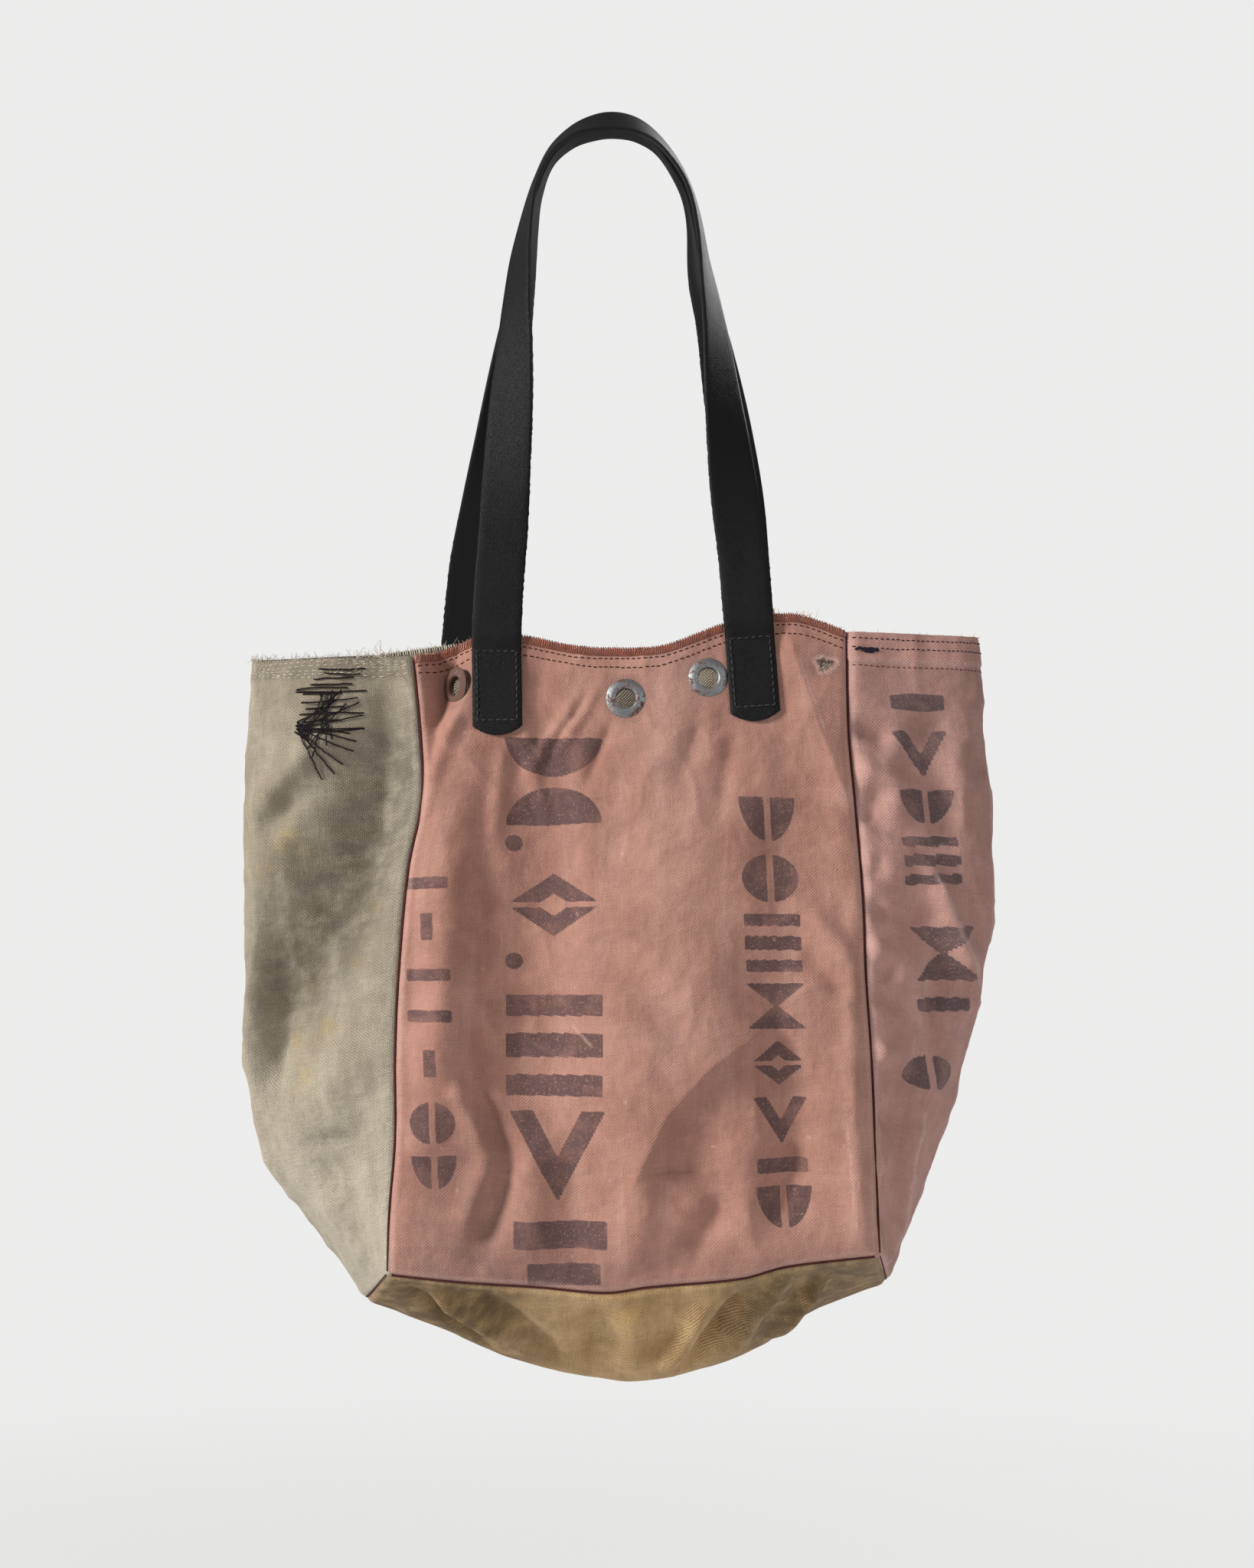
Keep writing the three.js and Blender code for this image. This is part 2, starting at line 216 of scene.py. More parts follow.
front_left_x = spline([[-350, -132], [-400, -126.5], [-441, -124.5], [-486, -133], [-555, -139],
                       [-606, -141], [-658, -141], [-709, -145], [-746, -146]])
front_right_x = spline([[-334, 149.5], [-400, 150], [-445, 153.5], [-507, 158], [-555, 159.5],
                        [-610, 163], [-676, 165.5], [-734, 168]])
back_left_x = spline([[-345, -163], [-450, -165], [-600, -164], [-700, -158], [-757, -154]])
back_right_x = spline([[-338, 157], [-450, 163], [-600, 168], [-700, 168], [-748, 167]])
front_rim_z = spline([[-132, -350], [-94, -338], [-61, -337], [-25, -344], [-3, -345], [30, -343.5],
                      [71, -328.5], [102, -323], [122, -324], [149.5, -334]])
back_rim_z = spline([[-163, -345], [-104, -338], [-60, -340], [0, -344], [50, -340], [92, -332], [157, -338]])
front_base_z = spline([[-146, -746], [-100, -750.5], [-49, -753.5], [-6, -757], [20, -753.5], [80, -748],
                       [109, -740.5], [168, -734]])
back_base_z = spline([[-154, -757], [-60, -764], [20, -766], [90, -760], [167, -748]])
left_fold = spline([[-352, -236, -22], [-427, -241, -28], [-453, -243, -30], [-524, -241, -33],
                    [-605, -243, -33], [-676, -229, -26], [-719, -205, -18], [-747, -182, -11],
                    [-773, -166, -6]])
right_fold = spline([[-337, 235.5, -20], [-396, 239.5, -25], [-452, 243, -30], [-505, 244.5, -33],
                     [-540, 241.5, -32], [-594, 232.5, -28], [-665, 211.5, -20], [-722, 192, -13],
                     [-761, 178, -8]])
keel = spline([[-166, -6, -773], [-123, -5, -789], [-87, -5, -805], [-51, -5, -817], [-15, -5, -825],
               [13, -5, -827], [42, -5, -823], [92, -6, -805], [130, -7, -780], [178, -8, -761]])


def stack(x, y, z):
    return np.stack(np.broadcast_arrays(x, y, z), -1).astype(float)


def fold(A, M, B, u, k):
    """A panel from edge A to edge B, folded along M at u = 0.5; k rounds the fold."""
    w = (2 * u - 1)[..., None]
    k = np.broadcast_to(k, u.shape)[..., None]
    a = (np.sqrt(w * w + k * k) - k) / (np.sqrt(1 + k * k) - k)
    return M * (1 - a) + A * (a / 2 - w / 2) + B * (a / 2 + w / 2)


def wall(left_x, right_x, rim_z, base_z, ends, depth):
    rim_l, rim_r, base_l, base_r = ends

    def at(u, v):
        z = lerp(rim_z(lerp(rim_l, rim_r, u)), base_z(lerp(base_l, base_r, u)), v)
        zl = lerp(rim_z(rim_l), base_z(base_l), v)
        zr = lerp(rim_z(rim_r), base_z(base_r), v)
        x = lerp(left_x(zl), right_x(zr), u)
        return stack(x, depth(x, z), z)

    return at


front_wall = wall(front_left_x, front_right_x, front_rim_z, front_base_z, (-132, 149.5, -146, 168), front_y)
back_wall = wall(back_left_x, back_right_x, back_rim_z, back_base_z, (-163, 157, -154, 167), back_y)


def gusset(edge_u, fold_line, z_top, z_base):
    def at(u, v):
        z = lerp(z_top, z_base, v)
        m = fold_line(z)
        e = np.full_like(u, edge_u)
        return fold(front_wall(e, v), stack(m[..., 0], m[..., 1], z), back_wall(e, v), u, FOLD_SOFT)

    return at


left_gusset = gusset(0.0, left_fold, -352, -773)
right_gusset = gusset(1.0, right_fold, -337, -761)


def bottom(u, v):
    x = lerp(-166, 178, u)
    k = keel(x)
    edge = 1 - np.minimum(1, np.minimum(u, 1 - u) / 0.18)
    one = np.ones_like(u)
    return fold(front_wall(u, one), stack(x, k[..., 0], k[..., 1]), back_wall(u, one), v,
                lerp(KEEL_SOFT, FOLD_SOFT, edge))


# ---------------------------------------------------------------- mesh making
def make_object(name, verts, faces):
    mesh = bpy.data.meshes.new(name)
    mesh.from_pydata(np.asarray(verts, float) * MM, [], faces)
    mesh.update()
    mesh.polygons.foreach_set("use_smooth", np.ones(len(mesh.polygons), bool))
    ob = bpy.data.objects.new(name, mesh)
    scene.collection.objects.link(ob)
    return ob


def corner_points(mesh):
    """The vertex at each face corner."""
    index = np.empty(len(mesh.loops), np.int32)
    mesh.loops.foreach_get("vertex_index", index)
    return index


def set_uv(mesh, name, flat):
    """A UV layer from one flat position per vertex, in mm."""
    layer = mesh.uv_layers.new(name=name)
    layer.data.foreach_set("uv", flat[corner_points(mesh)].astype(np.float32).ravel())


def drop_loose(ob):
    bm = bmesh.new()
    bm.from_mesh(ob.data)
    bmesh.ops.delete(bm, geom=[v for v in bm.verts if not v.link_faces], context="VERTS")
    bm.to_mesh(ob.data)
    bm.free()


def normals_of(P):
    n = np.cross(np.gradient(P, axis=1), np.gradient(P, axis=0))
    return n / np.linalg.norm(n, axis=-1, keepdims=True)


IN_FRONT = -400  # y of a place well in front of the bag


class Sheet:
    """A cloth panel: its grid, its flat coordinates p and q in mm, and the fields painted on it."""

    THICKNESS = 1.2

    def __init__(self, name, at, step, turned=False):
        self.name, self.turned = name, turned
        self.side = -1 if turned else 1
        t, middle = np.linspace(0, 1, 9), np.full(9, 0.5)
        self.width, self.height = (np.linalg.norm(np.diff(at(u, v), axis=0), axis=1).sum()
                                   for u, v in ((t, middle), (middle, t)))
        self.nu, self.nv = int(self.width / step), int(self.height / step)
        self.u, self.v = np.meshgrid(np.linspace(0, 1, self.nu + 1), np.linspace(0, 1, self.nv + 1),
                                     indexing="ij")
        self.P = self.base = at(self.u, self.v)
        self.N = normals_of(self.P) * self.side
        self.p, self.q = self.u * self.width, self.v * self.height
        self.x, self.z = self.base[..., 0], self.base[..., 2]
        self.paint = {}
        self.keep = np.ones((self.nu, self.nv), bool)

    def sides(self, top=False):
        """Distance in mm from the nearest seam; top counts the upper edge as one."""
        d = np.minimum(np.minimum(self.p, self.width - self.p), self.height - self.q)
        return np.minimum(d, self.q) if top else d

    def push(self, amount):
        self.P = self.P + self.N * amount[..., None]

    def mark(self, key, amount):
        """Add to a painted field, which stays between 0 and 1."""
        self.paint[key] = np.clip(self.paint.get(key, 0) + amount, 0, 1)

    def roll_edges(self, top=False):
        """The edges turn in at the seams, with small puckers along them."""
        depth, reach = 3.2, 5.0
        d = self.sides(top)
        pucker = (1 + 0.35 * np.sin((self.p * 0.2 + self.q) / 3.1)
                  + 0.25 * np.sin((self.p + self.q * 0.3) / 1.9 + 1))
        self.push(-depth * np.clip(1 - d / reach, 0, 1) ** 2)
        self.push(0.35 * pucker * bell(d - 6, 4.5))
        self.mark("wear_and_highlight", 0.35 * bell(d - depth, 1.5))

    def build(self, material):
        self.out = normals_of(self.P) * self.side
        ob = make_object(self.name, self.P.reshape(-1, 3), self.faces().tolist())
        set_uv(ob.data, "Cloth", np.stack([self.p.ravel(), self.q.ravel()], 1))
        for key in ("ink_and_hole_shade", "stain", "wear_and_highlight", "dirt_and_shade"):
            field = np.broadcast_to(self.paint.get(key, 0.0), self.u.shape)
            layer = ob.data.attributes.new(key, "FLOAT", "POINT")
            layer.data.foreach_set("value", np.ascontiguousarray(field, np.float32).ravel())
        ob.data.materials.append(material)
        if not self.keep.all():
            drop_loose(ob)
        solid = ob.modifiers.new("thickness", "SOLIDIFY")
        solid.thickness, solid.offset = self.THICKNESS * MM, 0
        solid.use_even_offset = False
        return ob

    def sample(self, p, q, off=0.0):
        """Points on the finished cloth at flat coordinates p, q, off mm out of it."""
        i = np.clip(np.asarray(p, float) / self.width * self.nu, 0, self.nu - 1e-6)
        j = np.clip(np.asarray(q, float) / self.height * self.nv, 0, self.nv - 1e-6)
        i0, j0 = i.astype(int), j.astype(int)
        a, b = (i - i0)[..., None], (j - j0)[..., None]
        one_height = np.isscalar(off)

        def corner(di, dj):
            at = self.P[i0 + di, j0 + dj]
            return at + self.out[i0 + di, j0 + dj] * off if one_height else at

        point = (corner(0, 0) * (1 - a) * (1 - b) + corner(1, 0) * a * (1 - b)
                 + corner(0, 1) * (1 - a) * b + corner(1, 1) * a * b)
        return point if one_height else point + self.out[i0, j0] * np.asarray(off, float)[..., None]

    def faces(self):
        i, j = np.meshgrid(np.arange(self.nu), np.arange(self.nv), indexing="ij")
        a = (i * (self.nv + 1) + j).ravel()
        f = np.stack([a, a + 1, a + self.nv + 2, a + self.nv + 1], 1)[self.keep.ravel()]
        return f[:, ::-1] if self.turned else f

    def seen_from_front(self, x, z):
        """Where a ray from the front meets the cloth, and the normal there; None, None where it misses."""
        if not hasattr(self, "tree"):
            self.tree = BVHTree.FromPolygons(self.P.reshape(-1, 3).tolist(), self.faces().tolist())
        at, normal = self.tree.ray_cast(Vector((x, IN_FRONT, z)), Vector((0, 1, 0)))[:2]
        return (None, None) if at is None else (np.array(at), np.array(normal))


def unit_rows(rows):
    return rows / np.maximum(np.linalg.norm(rows, axis=1, keepdims=True), 1e-9)


class Tubes:
    """Many short threads gathered into one mesh."""

    def __init__(self, name, material):
        self.name, self.material, self.verts, self.faces = name, material, [], []

    def add(self, points, radius, sides=5, taper=False):
        P = np.asarray(points, float)
        n = len(P)
        T = unit_rows(np.gradient(P, axis=0))
        A = unit_rows(np.cross(T, [0.31, 0.87, 0.38]))  # any direction that few threads run in
        B = np.cross(T, A)
        turn = np.arange(sides) * 2 * math.pi / sides
        r = np.full(n, float(radius))
        if taper:
            r[[0, -1]] *= 0.55
        ring = P[:, None] + r[:, None, None] * (np.cos(turn)[None, :, None] * A[:, None]
                                                + np.sin(turn)[None, :, None] * B[:, None])
        base = len(self.verts)
        self.verts.extend(ring.reshape(-1, 3).tolist())
        for start in range(base, base + (n - 1) * sides, sides):
            for j in range(sides):
                k = (j + 1) % sides
                self.faces.append([start + j, start + k, start + sides + k, start + sides + j])
        self.faces.append([base + j for j in range(sides)][::-1])
        self.faces.append([base + (n - 1) * sides + j for j in range(sides)])

    def build(self):
        ob = make_object(self.name, self.verts, self.faces)
        ob.data.materials.append(self.material)
        return ob


# ---------------------------------------------------------------- materials
def rgb(r, g, b):
    """An sRGB colour out of 255 as linear RGBA."""
    return tuple((c / 255 / 12.92 if c / 255 <= 0.04045 else ((c / 255 + 0.055) / 1.055) ** 2.4)
                 for c in (r, g, b)) + (1.0,)


def darker(colour, share):
    return tuple(c * share for c in colour[:3]) + (1,)


class Nodes:
    """A material's node tree, with a short call for each node used here."""

    def __init__(self, name, uv=None):
        self.mat = bpy.data.materials.new(name)
        self.mat.use_nodes = True
        self.tree = self.mat.node_tree
        self.uv = uv

    def put(self, socket, value):
        if isinstance(value, bpy.types.NodeSocket):
            self.tree.links.new(value, socket)
        elif value is not None:
            socket.default_value = value

    def node(self, kind, inputs=(), **settings):
        """The outputs of a new node; its inputs are given in order or by name."""
        n = self.tree.nodes.new("ShaderNode" + kind)
        for key, value in settings.items():
            setattr(n, key, value)
        for key, value in inputs.items() if isinstance(inputs, dict) else enumerate(inputs):
            self.put(n.inputs[key], value)
        return n.outputs

    def math(self, op, *values, clamp=False):
        return self.node("Math", values, operation=op, use_clamp=clamp)[0]

    def sub(self, a, b):
        return self.math("SUBTRACT", a, b)

    def mul(self, *values, clamp=False):
        out = values[0]
        for value in values[1:]:
            out = self.math("MULTIPLY", out, value, clamp=clamp)
        return out

    def add(self, *values):
        out = values[0]
        for value in values[1:]:
            out = self.math("ADD", out, value)
        return out

    def mix(self, fac, a, b, mode="MIX"):
        return self.node("Mix", {"Factor": fac, "A": a, "B": b}, data_type="RGBA", blend_type=mode,
                         clamp_result=True)["Result"]

    def span(self, *values):
        """value, from low, from high, and to low and to high where they aren't 0 and 1."""
        values += (0.0, 1.0)[len(values) - 3:]
        return self.node("MapRange", values, interpolation_type="SMOOTHSTEP")["Result"]

    def field(self, name):
        return self.node("Attribute", attribute_name=name)["Fac"]

    def place(self, scale=(1, 1, 1)):
        """Flat coordinates in mm, or the object's own in metres where the material has no UV layer."""
        where = self.node("UVMap", uv_map=self.uv)["UV"] if self.uv else self.node("TexCoord")["Object"]
        return self.node("Mapping", {"Vector": where, "Scale": scale})["Vector"]

    def noise(self, vector, scale=1.0, detail=3.0, rough=0.55, warp=0.0):
        return self.node("TexNoise", {"Vector": vector, "Scale": scale, "Detail": detail, "Roughness": rough,
                                      "Distortion": warp})["Fac"]

    def streaks(self, across, down, *how):
        """Noise at its own scale each way."""
        return self.noise(self.place((across, down, 1)), 1.0, *how)

    def cells(self, vector, scale=1.0, feature="F1"):
        return self.node("TexVoronoi", {"Vector": vector, "Scale": scale}, feature=feature)["Distance"]

    def bump(self, height, distance, strength, normal=None):
        return self.node("Bump", {"Strength": strength, "Distance": distance, "Height": height,
                                  "Normal": normal})["Normal"]

    def finish(self, **values):
        for key, value in values.items():
            self.put(self.tree.nodes["Principled BSDF"].inputs[key.replace("_", " ")], value)
        return self.mat


def canvas(name, base, deep, pale, stain, dirt_and_shade, ink_and_hole_shade=None, twill=False, pitch=1.0, contrast=1.0):
    """Woven cotton: threads, slubs, mottled fading, and the painted fields."""
    m = Nodes(name, "Cloth")
    add, mul, noise, span = m.add, m.mul, m.noise, m.span
    base, deep, pale = rgb(*base), rgb(*deep), rgb(*pale)
    uv = m.place()
    u, v = m.node("SeparateXYZ", [uv])[:2]
    wobble = mul(m.sub(noise(uv, 0.09, 2), 0.5), 2.2)
    u, v = add(u, wobble), add(v, wobble)
    turn = math.pi / pitch
    if twill:
        diagonal = m.math("SINE", mul(add(u, mul(v, 1.25)), 2 * turn / 1.7))
        weave = add(mul(diagonal, 0.60), mul(m.math("SINE", mul(u, 2 * turn / 0.8)), 0.15))
    else:
        weave = mul(m.math("SINE", mul(u, turn)), m.math("SINE", mul(v, turn)), 0.5)
    threads = m.sub(add(m.streaks(1.9, 0.07, 2, 0.6), m.streaks(0.07, 1.9, 2, 0.6)), 1.0)
    grit = m.sub(noise(uv, 0.9, 4, 0.7), 0.5)
    patch = noise(uv, 0.05, 4, 0.62, 0.3)
    tone = span(add(mul(noise(uv, 0.012, 4, 0.6, 0.4), 0.62), mul(patch, 0.38)), 0.36, 0.66)
    colour = m.mix(mul(tone, 0.9), deep, base)
    fade = span(m.streaks(0.05, 0.006, 4, 0.6), 0.45, 0.8)
    fleck = span(noise(uv, 0.75, 2, 0.5), 0.70, 0.78)
    for amount in (fade, fleck):
        colour = m.mix(mul(amount, 0.30), colour, pale)
    stained = mul(m.field("stain"), span(noise(uv, 0.08, 4, 0.7, 0.8), 0.38, 0.6))
    colour = m.mix(mul(stained, 0.75, clamp=True), colour, rgb(*stain))
    # This field darkens the cloth both for grime and as painted shade.
    dirt_and_shade_share = mul(m.field("dirt_and_shade"), span(noise(uv, 0.07, 4, 0.6), 0.32, 0.62, 0.45, 1.0))
    colour = m.mix(mul(dirt_and_shade_share, 0.7, clamp=True), colour, rgb(*dirt_and_shade))
    # This field carries the printed ink and the painted shade round the torn hole's rim.
    if ink_and_hole_shade:
        left_on = mul(span(add(noise(uv, 0.55, 3, 0.65), mul(threads, 0.45)), 0.18, 0.47),
                      span(patch, 0.28, 0.55, 0.62, 1.0))
        colour = m.mix(mul(span(m.field("ink_and_hole_shade"), 0.3, 0.7), left_on, 0.86), colour, rgb(*ink_and_hole_shade))
    # This field pales the cloth both for wear and as a painted highlight.
    wear_and_highlight_share = mul(m.field("wear_and_highlight"), span(noise(uv, 0.35, 3, 0.6), 0.3, 0.6, 0.45, 1.0), clamp=True)
    colour = m.mix(wear_and_highlight_share, colour, pale)
    light = add(mul(threads, 0.40 * contrast), mul(weave, 0.20 * contrast), mul(grit, 0.38 * contrast), 1.0)
    colour = m.mix(1.0, colour, m.node("CombineColor", [light] * 3)[0], "MULTIPLY")
    height = add(mul(weave, 1.1), mul(threads, 0.8), mul(grit, 0.9))
    normal = m.bump(height, 0.0005, 0.55, m.bump(noise(uv, 0.11, 3, 0.5), 0.0022, 0.5))
    return m.finish(Base_Color=colour, Roughness=add(mul(grit, 0.12), 0.9), Normal=normal, Sheen_Weight=0.12,
                    Sheen_Roughness=0.6, Specular_IOR_Level=0.18)


def thread(name, colour, rough=0.75):
    m = Nodes(name)
    at, colour = m.place(), rgb(*colour)
    twist = m.noise(at, 900, 2)
    tone = m.mix(m.span(m.noise(at, 160, 3), 0.3, 0.7), darker(colour, 0.68), colour)
    return m.finish(Base_Color=tone, Roughness=rough, Normal=m.bump(twist, 0.0003, 0.6),
                    Specular_IOR_Level=0.25)


def leather(name, base, light, rough):
    """The dyed grain face: pores, creases and long scratches."""
    m = Nodes(name, "Strap")
    uv, base, light = m.place(), rgb(*base), rgb(*light)
    broad = m.streaks(0.05, 0.012, 4, 0.6)
    fine = m.noise(uv, 1.2, 4, 0.7)
    creases = m.cells(m.place((0.9, 0.45, 1)), 1.0, "DISTANCE_TO_EDGE")
    scratch = m.span(m.streaks(1.6, 0.05, 3, 0.7, 0.6), 0.66, 0.8)
    colour = m.mix(m.mul(m.span(broad, 0.4, 0.75), 0.5), base, light)
    colour = m.mix(m.mul(scratch, 0.22), colour, light)
    height = m.add(m.mul(m.cells(uv, 1.9), 0.5), m.mul(fine, 0.6), m.span(creases, 0.0, 0.12, 0.0, 0.22))
    rough = m.add(m.mul(m.sub(broad, 0.5), 0.25), rough, m.mul(scratch, 0.12))
    return m.finish(Base_Color=colour, Roughness=rough, Normal=m.bump(height, 0.00045, 0.7),
                    Specular_IOR_Level=0.2)


def leather_fibre(name, base, light):
    """The undyed flesh side and the cut edges."""
    m = Nodes(name, "Strap")
    fine = m.noise(m.place(), 1.2, 4, 0.7)
    height = m.add(m.streaks(2.2, 0.7, 5, 0.75), fine)
    return m.finish(Base_Color=m.mix(m.span(fine, 0.3, 0.75), rgb(*base), rgb(*light)), Roughness=0.93,
                    Normal=m.bump(height, 0.0009, 0.8), Specular_IOR_Level=0.15, Sheen_Weight=0.2)


def metal(name, base, rust, spread=0.0):
    """Plated steel; spread widens the rust."""
    m = Nodes(name)
    at, base = m.place(), rgb(*base)
    spots = m.noise(at, 260, 5, 0.7, 0.4)
    scuff = m.noise(at, 1400, 3, 0.7)
    amount = m.mul(m.span(spots, 0.46 - spread, 0.60 - spread),
                   m.span(m.noise(at, 95, 3, 0.6), 0.36 - spread, 0.56 - spread))
    plate = m.mix(m.span(scuff, 0.3, 0.7), darker(base, 0.75), base)
    return m.finish(Base_Color=m.mix(m.mul(amount, 0.9), plate, rgb(*rust)),
                    Roughness=m.add(m.mul(amount, 0.38), m.span(scuff, 0.3, 0.7, 0.42, 0.60)),
                    Metallic=m.sub(1.0, m.mul(amount, 0.85)), Normal=m.bump(m.add(scuff, spots), 0.0002, 0.5))


# Each canvas: its colour, its darker and its faded one.
pink = canvas("pink_canvas", (191, 142, 126), (166, 118, 103), (214, 176, 162),
              stain=(196, 150, 118), dirt_and_shade=(128, 100, 92), ink_and_hole_shade=(84, 64, 66))
# The right gusset's pink is lighter than the front's to make up for the shade on that side: painted light.
pink_side_painted_lighter = canvas("pink_canvas_side_painted_lighter", (202, 156, 144), (182, 136, 125), (222, 188, 178),
                   stain=(190, 150, 120), dirt_and_shade=(120, 96, 90), ink_and_hole_shade=(84, 70, 74))
BEIGE_MARKS = dict(stain=(182, 160, 112), dirt_and_shade=(88, 80, 70), twill=True, pitch=1.4, contrast=1.5)
beige = canvas("beige_canvas", (178, 167, 147), (150, 138, 118), (208, 199, 180), **BEIGE_MARKS)
beige_back = canvas("beige_canvas_back", (176, 166, 148), (163, 153, 134), (206, 198, 181), **BEIGE_MARKS)
gold = canvas("gold_canvas", (206, 172, 126), (164, 130, 86), (228, 200, 156),
              stain=(182, 146, 90), dirt_and_shade=(58, 42, 24), twill=True, pitch=1.35, contrast=1.9)
STRAP_MATERIALS = (leather("black_leather", (10, 10, 11), (25, 24, 27), 0.47),
                   # The flesh side is coloured near black as painted shade for the rear handle's shadowed
                   # face.
                   leather_fibre("leather_flesh_painted_shade", (12, 12, 13), (34, 33, 34)),
                   leather_fibre("leather_edge", (9, 8, 10), (26, 24, 27)))
zinc = metal("eyelet_steel", (158, 160, 162), (96, 55, 36))
rusty_zinc = metal("eyelet_steel_rusty", (134, 124, 118), (104, 70, 58), 0.15)
rust_thread = thread("rust_thread", (174, 106, 88))
maroon_thread = thread("maroon_thread", (78, 34, 33))
navy_thread = thread("navy_thread", (42, 36, 54))
# The black thread is coloured grey as a painted sheen.
black_thread_painted_sheen = thread("black_thread_painted_sheen", (64, 64, 67), 0.5)
darn_thread = thread("darning_thread", (28, 20, 26), 0.8)
cream_thread = thread("cream_thread", (216, 206, 186))
pink_fray = thread("pink_fray", (226, 194, 176))


# ---------------------------------------------------------------- ink: plain geometric stencil figures
SLOT = 0.07  # half the uninked slot down the middle of some figures
# Each figure fills a box from -1 to 1 each way, a across the row and b along it; cut is 1 where its gaps are
# all positive.
FIGURES = {
    "disc": lambda a, b, cut: cut(1 - np.hypot(a, b), abs(a) - SLOT),
    "dot": lambda a, b, cut: cut(1 - np.hypot(a, b)),
    "half": lambda a, b, cut: cut(1 - np.hypot(a, (b + 1) / 2), b + 1, abs(a) - SLOT),
    "halves": lambda a, b, cut: np.maximum(cut(1 - np.hypot(a, (b + 1) / 0.9), b + 1),
                                           cut(1 - np.hypot(a, (1 - b) / 0.9), 1 - b)),
    "diamond": lambda a, b, cut: (cut(1 - abs(a) - abs(b), abs(b) - 0.05)
                                  * (1 - cut(0.38 - abs(a) - abs(b)))),
    "bars": lambda a, b, cut: (cut(1 - abs(a), 1 - abs(b))
                               * cut(np.cos(b * math.pi * 2.5) + 0.25, both=True)),
    "bar": lambda a, b, cut: cut(1 - abs(a), 1 - abs(b)),
    "wedge": lambda a, b, cut: (cut((1 - b) / 2 - abs(a), b + 1)
                                * (1 - cut((0.05 - b) / 2 - abs(a)))),
    "glass": lambda a, b, cut: cut(abs(b) + 0.12 - abs(a), 1 - abs(b)),
}


def stencil(x, z, start, slope, half, figures):
    """A row of figures reading downwards from start = (x, z); slope is its sideways run per mm.
    A figure is its kind, top and foot, then its share of the row's width and its shift, if not 1 and 0."""
    out = np.zeros_like(x)
    t = start[1] - z
    for kind, top, foot, *rest in figures:
        share, shift = rest or (1, 0)
        wide = (foot - top) / 2
        a = (x - start[0] - slope * t - shift) / (half * share)
        b = (t - (top + foot) / 2) / wide
        soft = 1.3 / min(half * share, wide)

        def cut(*gaps, both=False):
            return math.prod(smooth(-soft if both else 0, soft, gap) for gap in gaps)

        near = (abs(a) < 1.3) & (abs(b) < 1.3)
        out = np.maximum(out, np.where(near, FIGURES[kind](a, b, cut), 0))
    return out


# ---------------------------------------------------------------- panels
TURN_DEPTH = 17.0  # how far the left front corner turns back
EYELETS = {"left": (-107, -369.5), "middle": (5.5, -377.5), "right": (58.8, -364)}
LEFT_EYELET_SHIFT = 3.2  # the left eyelet stands this much nearer its tab than the plain solid does
HOLE = 8.2  # radius
TORN = (134.5, -355.5)


def tab_gap(x, z, middle, half_width, half_height):
    """How far points are outside a box round a tab."""
    return np.maximum(abs(x - middle[0]) - half_width, abs(z - middle[1]) - half_height)


front = Sheet("front_canvas", front_wall, 1.25)
X, Z = front.x, front.z
calm = smooth(1, 15, front.sides())  # folds die away at the seams, eyelets and tabs
for x, z in EYELETS.values():
    calm *= 0.15 + 0.85 * smooth(12, 24, np.hypot(X - x, Z - z))
for middle in ((-77, -371), (88, -363)):
    calm *= 0.1 + 0.9 * smooth(0, 14, tab_gap(X, Z, middle, 17, 30))
FRONT_FOLDS = [  # (top, bottom, half width, height), by x and z
    ((-106, -440), (-114, -650), 15, 9.0), ((-48, -380), (-54, -690), 32, -14.0),
    ((-80, -404), (-88, -560), 9, -2.5), ((54, -400), (50, -640), 32, 7.5),
    ((-20, -420), (-16, -560), 9, 1.6), ((104, -430), (106, -580), 14, -2.2),
    ((-103, -618), (-80, -668), 8, 6.0), ((-80, -668), (-100, -722), 8, 5.0),
    ((-92, -622), (-68, -676), 7, -6.5), ((-68, -676), (-86, -732), 9, -6.5),
    ((-52, -660), (-56, -738), 11, 3.6), ((-28, -660), (-22, -748), 13, -4.0),
    ((20, -672), (8, -748), 14, 5.5), ((60, -640), (40, -690), 16, -5.5), ((70, -690), (44, -736), 11, -6.5),
    ((84, -660), (80, -735), 10, 2.5), ((158, -540), (162, -735), 16, 7.5),
    ((112, -600), (116, -725), 17, -6.5), ((118, -650), (98, -716), 9, -4.5),
    ((122, -512), (152, -548), 7, 4.0), ((118, -536), (150, -572), 7, -3.6),
    ((-72, -404), (-80, -470), 6, 3.0), ((-60, -402), (-46, -452), 5, 2.4),
    ((90, -398), (104, -450), 8, 1.2), ((76, -396), (66, -450), 6, -2.6), ((56, -380), (40, -440), 8, -2.8)]
f = folds(X, Z, FRONT_FOLDS)
# Short creases fanning down to the left, between the left tab and the middle eyelet.
for k, (x0, dx) in enumerate([(-8, -30), (-14, -36), (-24, -34), (2, -22)]):
    f += ridge(X, Z, (x0, -366 - 5 * k), (x0 + dx, -410 - 8 * k), 4.2, 3.0 if k % 2 == 0 else -2.4)
# The lower right belly, with one sharp edge.
belly = [(92, -590), (58, -614), (32, -644), (12, -684)]
for a, b in legs(belly):
    f += ramp(X, Z, a, b, 7, 50, 7.2)
f += crumple(X, Z, (62, 1.2, 3), (24, 0.3, 4), (34, 1.5, 5), (13, 0.45, 6))
f *= calm
